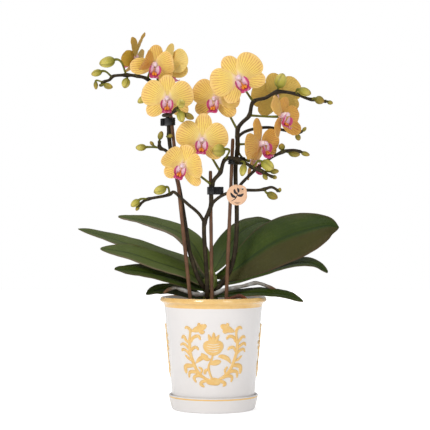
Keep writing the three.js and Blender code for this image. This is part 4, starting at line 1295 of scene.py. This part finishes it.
# Bud: base, tip, width, where its stalk leaves the spike, and how olive it is.
BUDS = {
    "left": [
        ((-101, -14, 251), (-117, -15, 246.5), 11.5, (-89, -4, 236), 0.0),
        ((-115, -5, 240), (-126, -5, 236.5), 7.5, (-104, -5, 235), 0.5),
        ((-113, -8, 226), (-103.5, -8, 223), 6.6, (-116, -5, 226), 0.6),
        ((-89, -4, 233), (-92, -4, 222.5), 9, (-89, -4, 236), 0.35),
        ((-69, 3, 215), (-78.5, 3, 208), 7.5, (-52, -6, 210), 0.0),
        ((-33, -40, 204), (-32.5, -51, 203.5), 9, (-36, -38, 200), 0.3),
        ((-34, -41, 196.5), (-31, -41, 185), 8.6, (-39, -36, 197), 0.3),
        ((-29, -37, 194), (-19.5, -37, 189), 6.6, (-37, -37, 199), 0.9),
        ((-69, -9, 161.5), (-80, -9, 161), 7.4, (-55, -9, 161), 0.2),
    ],
    "centre": [
        ((12, -40, 158), (-1.5, -40, 156), 13, (13, -20, 149), 0.5),
        ((31.5, -28, 143.5), (29, -28, 131), 7.6, (27, -21, 147), 0.2),
        ((49, -31, 146), (61.5, -31, 138.5), 11, (40, -23, 140), 0.1),
        ((-48, -29, 120), (-60.5, -29, 114.5), 9.5, (-44, -23, 113), 0.3),
        ((-75.5, -25, 107), (-84, -25, 100.5), 7.5, (-66, -22, 108), 0.3),
        ((55, -17, 114), (66, -17, 109), 8, (52, -18, 118), 0.9),
    ],
    "right": [
        ((66.5, -14, 222), (71.5, -14, 237), 12.5, (66, -14, 218), 0.2),
        ((87, -20, 220), (100, -20, 215.5), 9, (84, -14, 216), 0.4),
        ((104, -18, 211), (113.5, -18, 207.5), 8.6, (100, -13, 210), 1.0),
        ((70.3, -7, 158.5), (70.6, -7, 165.5), 7, (70, -7, 156), 1.0),
        ((77.5, -5, 156.5), (89.5, -4, 154), 8, (73, -7, 157), 0.7),
    ],
}
# Buds that are only nubs yet: base, tip, width, and where the stalk leaves the spike.
NUBS = {
    "left": [
        ((-121.5, -5, 229.5), (-121, -5, 221), 4.6, (-113, -5, 229)),
        ((-46.5, -19, 172), (-41.5, -21, 173), 4.2, (-45.5, -10, 172)),
        ((-61.5, -9, 163), (-65, -9, 167.5), 3.8, (-55, -9, 161)),
        ((-55.5, -9, 169), (-53, -9, 178), 6, (-55.5, -9, 168)),
    ],
    "centre": [
        ((58, -22, 136), (67, -22, 136.5), 5.8, (48, -24, 137)),
        ((51, -24, 133), (55, -24, 127.5), 5, (50, -24, 136)),
        ((60, -24, 131), (65, -24, 129.5), 4.4, (60, -24, 131)),
        ((-76, -21, 101), (-79, -21, 96), 4, (-76, -21, 101)),
        ((67, -19, 115), (68.5, -19, 119.5), 4, (67, -19, 115)),
    ],
    "right": [
        ((117, -11, 208), (123, -11, 206.5), 4.6, (116, -11, 208)),
        ((90, -13, 156), (99, -13, 153), 5.2, (90, -13, 156)),
        ((87, 16, 176), (90, 16, 169.5), 6, (85, 16, 177)),
        ((93, 16, 179), (97, 16, 183.5), 4, (93, 16, 179)),
    ],
}
SPIKE_BASE, BRANCH_BASE, SPIKE_TIP, STALK = 2.3, 1.65, 1.35, 0.95  # radii
JOINT_SWELL, JOINT_REACH, MOST_SWELL = 0.5, 2.6, 0.7  # how a stem thickens at each joint
STEM_GRAIN = 260.0
TO_BACK = 3.5  # from a flower's middle back to its stalk


def flower_turn(turn):
    """The turn of a flower that looked to the front, from yaw, pitch and roll in degrees."""
    yaw, pitch, roll = (math.radians(a) for a in turn)
    return (
        Matrix.Rotation(yaw, 4, "Z") @ Matrix.Rotation(-pitch, 4, "X")
        @ Matrix.Rotation(-roll, 4, "Y")
    )


def nearest(samples, spot):
    """The number of the sample that lies nearest to a spot."""
    return int(np.argmin(np.linalg.norm(samples - np.array(spot, float), axis=1)))


def stalk_line(samples, leaves, end, axis):
    """A stalk from the spike's nearest point to `end`, arriving along `axis`."""
    start = samples[nearest(samples, leaves)]
    end = np.array(end, float)
    reach = np.linalg.norm(end - start) * 0.45
    return bezier([start, start + (end - start) * 0.25, end - np.array(axis) * reach, end], 28)


def bud_body(base, tip, width, tone, seed, around=28, along=22):
    """A closed bud, slightly bowed, with three shallow seams."""
    base, tip = Vector(base), Vector(tip)
    sag = Vector((0, 0, -0.04 * (tip - base).length))
    line = bezier([base, base.lerp(tip, 0.5) + sag, tip], 20)
    face = (0, 0, 1) if abs(tip.y - base.y) > 8 else (0, -1, 0)
    return blade(
        line, width, BUD, width, straight=True, rise=0.5, fall=0.6, round=1.0, seams=0.1,
        tone=float(tone), seed=float(seed), face=face, around=around, along=along,
    )


def bract(samples, spot):
    """A small dry sheath leaf that clasps a stem at a joint."""
    near = min(max(nearest(samples, spot), 2), len(samples) - 3)
    start = Vector(samples[near])
    ahead = (Vector(samples[near + 1]) - Vector(samples[near - 1])).normalized()
    outward = Vector((0, -1, 0.2)).cross(ahead).cross(ahead).normalized()
    line = [start - ahead * 2.2 - outward * 1.0, start + ahead * 0.4 - outward * 2.0,
            start + ahead * 2.6 - outward * 2.5]
    return blade(
        line, 3.0, STEM, 0.5, 10, rise=0.35, fall=0.8, face=tuple(-outward), cup=-0.7,
        tone=0.4, around=12, along=10,
    )


for side, branches in SPIKES.items():
    routes = [smooth_path(points, 6 * len(points)) for points in branches]
    samples = np.vstack(routes)
    stalks = []
    for middle, turn, leaves, _, size, _ in FLOWERS[side]:
        axis = flower_turn(turn).to_3x3() @ Vector((0, -1, 0))
        end = Vector(middle) - axis * TO_BACK * size
        stalks.append((stalk_line(samples, leaves, end, axis), 1.25))
    for rows, sunk, grow in ((BUDS[side], 0.4, 1.15), (NUBS[side], 0.6, 1.0)):
        for base, tip, _, leaves, *_ in rows:
            axis = (Vector(tip) - Vector(base)).normalized()
            end = Vector(base) + axis * sunk
            stalks.append((stalk_line(samples, leaves, end, axis), grow))
    parts = [bud_body(base, tip, width, 0.7, width, 18, 14) for base, tip, width, _ in NUBS[side]]
    joints = [line[0] for line, _ in stalks] + [route[0] for route in routes[1:]]
    for order, route in enumerate(routes):
        share = np.linspace(0, 1, len(route))
        thick = BRANCH_BASE if order else SPIKE_BASE
        radii = thick + (SPIKE_TIP - thick) * share**3
        for joint in joints:
            away = np.linalg.norm(route - joint, axis=1)
            radii = radii + JOINT_SWELL * np.exp(-((away / JOINT_REACH) ** 2))
        radii = rounded_end(np.minimum(radii, thick + MOST_SWELL), route)
        tone = (0.0, 0.1) if order == 0 else (0.05, 0.25)
        parts.append(stem(route, radii, STEM, 14, 0.25, STEM_GRAIN, tone))
    for line, grow in stalks:
        share = np.linspace(0, 1, len(line))
        waist = 0.25 * np.sin(share * math.pi)
        radii = STALK * grow * (1.15 - waist + 0.15 * share)
        parts.append(stem(line, radii, STEM, 10, 0.1, STEM_GRAIN, (0.55, 1.0)))
    parts += [bract(samples, joint) for joint in joints]
    piece(f"flower_spike_{side}", parts, [f"spike_{side}"])

    for number, (base, tip, width, _, tone) in enumerate(BUDS[side]):
        bud = bud_body(base, tip, width, tone, number + width)
        piece(f"closed_bud_{side}_{number + 1}", [bud], [f"bud_{side}_{number + 1}"])

# ---- Flowers ----
# Tepal: angle in degrees, length, width, how far forward it lies, rise, fall, veins a side,
# and how much of its flower's bend it follows.

SEPAL_BEND = 0.35
TEPAL_THICKNESS = 0.8
DORSAL, LEFT_SEPAL, RIGHT_SEPAL, RIGHT_PETAL, LEFT_PETAL = range(5)
TEPALS = [
    (90, 25.5, 17.5, 0.9, 0.62, 0.48, 6.0, SEPAL_BEND),
    (213, 25.5, 16.5, 0.9, 0.62, 0.48, 6.0, SEPAL_BEND),
    (327, 25.5, 16.5, 0.9, 0.62, 0.48, 6.0, SEPAL_BEND),
    (22, 28, 27, -0.7, 0.78, 0.46, 9.5, 1.0),
    (158, 28, 27, -0.7, 0.78, 0.46, 9.5, 1.0),
]
# Tepals that lie otherwise: angle, share of the usual length and width, own bend, how shut;
# how shut also paints shade, a deeper ochre on the tepal's front.
UNEVEN = {
    "left_1": {
        DORSAL: (95, 1, 0.85, 34, 1), RIGHT_PETAL: (26, 0.8, 0.66, 62, 1),
        LEFT_PETAL: (146, 1.05, 0.36, 0, 1), RIGHT_SEPAL: (327, 0.8, 0.7, 40, 1),
    },
    "left_2": {
        DORSAL: (90, 0.9, 0.9, 15, 0.4), LEFT_SEPAL: (190, 1.08, 1.1, 12, 0),
        RIGHT_SEPAL: (332, 0.95, 1, 15, 0), RIGHT_PETAL: (22, 0.95, 0.9, 58, 0.1),
        LEFT_PETAL: (158, 0.92, 0.9, 84, 1),
    },
    "left_3": {LEFT_SEPAL: (194, 1.12, 1.05, 58, 0.1), LEFT_PETAL: (158, 1, 1, 50, 0)},
    "centre_1": {LEFT_SEPAL: (226, 0.88, 1, 15, 0), RIGHT_SEPAL: (332, 1.1, 0.85, 12, 0)},
    "centre_2": {DORSAL: (90, 1.14, 1.02, 0, 0)},
    "right_4": {
        DORSAL: (95, 0.85, 0.9, 30, 1), LEFT_SEPAL: (250, 1.15, 0.7, 30, 0.9),
        RIGHT_SEPAL: (338, 1.15, 1.15, 40, 1), RIGHT_PETAL: (22, 0.85, 0.75, 35, 0.9),
        LEFT_PETAL: (150, 1, 0.6, 18, 0.6),
    },
    "right_5": {
        DORSAL: (92, 1.12, 0.85, 0, 0.9), LEFT_SEPAL: (213, 0.8, 0.8, 15, 1),
        RIGHT_PETAL: (4, 0.9, 0.9, 55, 1), LEFT_PETAL: (166, 1.08, 1, 8, 0.8),
    },
}


def tepal(angle, length, width, layer, rise, fall, veins, follow, bend, shut_and_shade, chance, own=None):
    """One tepal of a flower that looks to -Y, in its usual way or in its own."""
    if own:
        angle, longer, wider, bend, shut_and_shade = own
        length, width, follow = length * longer, width * wider, 1.0
    broad = layer < 0
    angle = math.radians(angle + chance.uniform(-3, 3))
    turn = math.radians(bend * follow)
    half = length * chance.uniform(0.97, 1.0) / 2
    curl = chance.uniform(-0.8, 1.4)

    def out(distance, depth):
        return (distance * math.cos(angle), depth, distance * math.sin(angle))

    tip = out(half * (1 + math.cos(turn)), layer + curl - half * math.sin(turn))
    line = bezier([out(0.5, layer), out(half, layer - 2.2), tip], 30)
    return blade(
        line, width, TEPAL, TEPAL_THICKNESS, straight=True, rise=rise, fall=fall,
        cup=-0.14 if broad else -0.1, ruffle=0.005 if broad else 0.0035, groove=0.0006,
        veins=veins, tone=float(shut_and_shade), seed=chance.uniform(0, 9), around=44, along=30,
    )


def lip_parts(seed):
    """Upright side lobes, a forward tongue with two short whiskers, and the callus between."""
    parts = [
        blade(
            [(0, -1.2, -2), (0, -4, -7), (0, -8, -10.8), (0, -13.2, -12.6)], 10.5, LIP, 0.9, 28,
            rise=0.95, fall=0.35, face=(0, -0.45, 1), cup=-0.2, ruffle=0.002, tone=1.0,
            seed=seed + 3, around=28, along=26,
        )
    ]
    for side in (-1, 1):
        parts += [
            blade(
                [(side * 1.0, -2, -5.4), (side * 3.1, -4.8, -8.4), (side * 4.6, -7, -5),
                 (side * 4.2, -7.8, 0.4)],
                6.6, LIP, 0.7, 24, rise=0.6, fall=0.4, face=(-side * 0.5, -0.85, 0.1), cup=0.45,
                ruffle=0.001, tone=0.0 if side > 0 else 0.25, seed=seed, around=24, along=24,
            ),
            blade(
                [(side * 0.8, -12.6, -12.6), (side * 2.0, -13.8, -12.2), (side * 2.6, -13.4, -10.8)],
                0.8, LIP, 0.8, 12, rise=0.3, fall=0.9, round=1.0, around=8, along=10,
            ),
            blade(
                [(side * 1.0, -5.4, -7.4), (side * 1.3, -7.8, -8.6), (side * 1.2, -9.8, -10.2)],
                2.8, CALLUS, 2.4, 14, rise=0.5, fall=0.5, round=1.0, face=(0, 0, 1), around=18,
                along=14,
            ),
        ]
    return parts


def column_parts():
    """The column over the lip, and the cap at its end."""
    return [
        blade(
            [(0, 3.4, 0), (0, -1, 0.6), (0, -5, 1.6), (0, -7.2, 0.9)], 6.2, COLUMN, 6.0, 20,
            rise=0.3, fall=0.35, round=1.0, face=(0, 0, 1), around=24, along=22,
        ),
        blade(
            [(0, -5.6, 2.6), (0, -7.8, 1.8), (0, -8.6, -0.2)], 4.2, COLUMN, 3.4, 14, rise=0.45,
            fall=0.45, round=1.0, seams=0.15, face=(0, -1, 0.4), around=20, along=14,
        ),
    ]


def flower_parts(name, bend, shut_and_shade, seed):
    """One open flower that looks to -Y, its middle at the origin."""
    chance = random.Random(seed)
    own = UNEVEN.get(name, {})
    tepals = [tepal(*t, bend, shut_and_shade, chance, own.get(i)) for i, t in enumerate(TEPALS)]
    return tepals + lip_parts(float(seed)) + column_parts()


for side in FLOWERS:
    for number, (middle, turn, _, bend, size, shut_and_shade) in enumerate(FLOWERS[side]):
        place = Matrix.Translation(Vector(middle) * MM) @ flower_turn(turn) @ Matrix.Scale(size, 4)
        name = f"{side}_{number + 1}"
        seed = 10 * number + len(side)
        parts = [(mesh, place) for mesh in flower_parts(name, bend, shut_and_shade, seed)]
        piece(f"open_flower_{name}", parts, [f"flower_{name}"])

# ---- Clips ----

CLIP_HEIGHTS = {"left": 183.5, "centre": 112.5, "right": 143.5}
CLIP_HEIGHT, CLIP_WALL, CLIP_INNER, WING = 8.0, 1.4, 2.3, 7.0
WINGS_TO_SIDE = {"centre": 9.0}  # wings that leave the band sideways, and their length
RIB_STEP, TOOTH_STEP = 1.75, 1.95


def clip_band(points, ease=0.35):
    """The clip's closed upright band round a flat loop of points, with eased edges."""
    loop = [Vector(p) for p in points]
    wall, high = CLIP_WALL, CLIP_HEIGHT
    section = [(0, ease), (ease, 0), (wall - ease, 0), (wall, ease), (wall, high - ease),
               (wall - ease, high), (ease, high), (0, high - ease)]
    rows = []
    for before, p, after in zip(loop[-1:] + loop, loop, loop[1:] + loop[:1]):
        tangent = (after - before).normalized()
        rows.append([(p.x + tangent.y * r, p.y - tangent.x * r, z) for r, z in section])
    return closed_grid(rows, CLIP)


def eased_block(size, middle, ease):
    """A small moulded block with rounded edges."""
    form = bmesh.new()
    bmesh.ops.create_cube(form, size=1.0)
    bmesh.ops.scale(form, vec=Vector(size) * MM, verts=form.verts)
    bmesh.ops.translate(form, vec=Vector(middle) * MM, verts=form.verts)
    bmesh.ops.bevel(
        form, geom=form.edges[:], offset=ease * MM, segments=3, affect="EDGES", profile=0.5
    )
    return made(form, CLIP)


def spike_at(side, height):
    """Where a spike's axis first reaches a height."""
    route = smooth_path(SPIKES[side][0], 400)
    return Vector(next(p for p in route if p[2] >= height))


for side, height in CLIP_HEIGHTS.items():
    middle = height + CLIP_HEIGHT / 2
    cane, spike = stake_at(side, middle), spike_at(side, middle)
    reach = math.hypot(spike.x - cane.x, spike.y - cane.y)
    turn = math.atan2(spike.y - cane.y, spike.x - cane.x)
    place = Matrix.Translation(Vector((cane.x, cane.y, height)) * MM)
    place = place @ Matrix.Rotation(turn, 4, "Z")
    loop = [
        (end + CLIP_INNER * math.cos(start + a), CLIP_INNER * math.sin(start + a))
        for end, start in ((0, math.pi / 2), (reach, 1.5 * math.pi))
        for a in np.linspace(0, math.pi, 17)
    ]
    long = WINGS_TO_SIDE.get(side, WING)
    outer = CLIP_INNER + CLIP_WALL
    hinge = Matrix.Translation((reach * MM, 0, 0))
    if side in WINGS_TO_SIDE:
        hinge = Matrix.Translation((reach / 2 * MM, 0, 0)) @ Matrix.Rotation(-turn, 4, "Z")
    parts = [(clip_band(loop), HERE)]
    for way in (-1, 1):
        size = (long + 0.8, 1.6, CLIP_HEIGHT)
        wing = eased_block(size, (outer + long / 2 - 0.4, way * 2.2, CLIP_HEIGHT / 2), 0.5)
        size = (0.9, 1.4, CLIP_HEIGHT - 0.6)
        rib = eased_block(size, (outer + 1.0, way * 3.4, CLIP_HEIGHT / 2), 0.35)
        ribs = grown(ROW, rib, CLIP, Count=int(long / RIB_STEP), Step=(RIB_STEP * MM, 0, 0))
        parts += [(wing, hinge), (ribs, hinge)]
    tooth = eased_block((1.2, 4.6, 0.9), (-outer - 0.1, 0, 1.1), 0.3)
    parts.append((grown(ROW, tooth, CLIP, Count=4, Step=(0, 0, TOOTH_STEP * MM)), HERE))
    piece(f"stake_clip_{side}", [(m, place @ at) for m, at in parts], [f"clip_{side}"])

# ---- Tag: a card disc with one squarer corner and a plain printed sprig ----

TAG_MIDDLE = Vector((24, -21.6, 112))
TAG_RADIUS, TAG_THICKNESS, HOLE_RADIUS = 10.6, 0.7, 1.0


def tag_outline(count=96):
    """A circle that bulges into a soft corner at its upper right."""
    line = []
    for i in range(count):
        a = i / count * TAU
        power, share = (3.4, 0.97) if a < math.pi / 2 else (2.0, 1.0)
        x, z = math.cos(a), math.sin(a)
        scale = TAG_RADIUS / (abs(x) ** power + abs(z) ** power) ** (1 / power)
        line.append(Vector((x * scale * share, z * scale * share)))
    return line


def pierced_card(ease=0.15):
    """The card as rings of points, out from its hole over one face and back over the other."""
    hole = Vector((TAG_RADIUS * 0.55, TAG_RADIUS * 0.6))
    rim = tag_outline()
    inner = [hole + (p - hole).normalized() * HOLE_RADIUS for p in rim]
    thick = TAG_THICKNESS
    section = [(0.0, 0.0), (0.5, 0.0), (0.93, 0.0), (0.985, 0.0), (1.0, ease),
               (1.0, thick - ease), (0.985, thick), (0.5, thick), (0.0, thick)]
    rows = []
    for share, depth in section:
        spots = [a.lerp(b, share) for a, b in zip(inner, rim)]
        rows.append([(p.x, -depth, p.y) for p in spots])
    return closed_grid(rows, CARD)


# Printed strokes: width and line. A stem, four leaves, and two plain lines under them.
SPRIG = [
    (0.9, [(-6.0, -6.5), (-1.0, -3.0), (1.5, 3.5)]),
    (2.8, [(-0.6, -2.6), (-4.2, -1.0), (-6.4, 2.6)]),
    (2.8, [(0.4, -0.2), (4.0, -0.6), (7.0, 1.6)]),
    (2.6, [(0.8, 0.8), (-2.0, 3.0), (-2.6, 6.4)]),
    (2.4, [(1.4, 2.4), (1.6, 4.6), (0.6, 7.4)]),
    (0.5, [(-3.0, -7.4), (0.5, -7.6), (4.0, -7.4)]),
    (0.5, [(-1.6, -8.6), (0.6, -8.8), (3.0, -8.6)]),
]
print_parts = [
    blade(
        [(x, -TAG_THICKNESS, z) for x, z in line], width, INK, 0.16, 16, rise=0.6, fall=0.7,
        around=12, along=14,
    )
    for width, line in SPRIG
]
tag_place = Matrix.Translation(TAG_MIDDLE * MM)
tag_parts = [(mesh, tag_place) for mesh in (pierced_card(), *print_parts)]
piece("round_plant_tag", tag_parts, ["plant_tag"])

size = {"cad": [list(c) for c in cad_bounds], "visual": [list(c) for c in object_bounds()]}
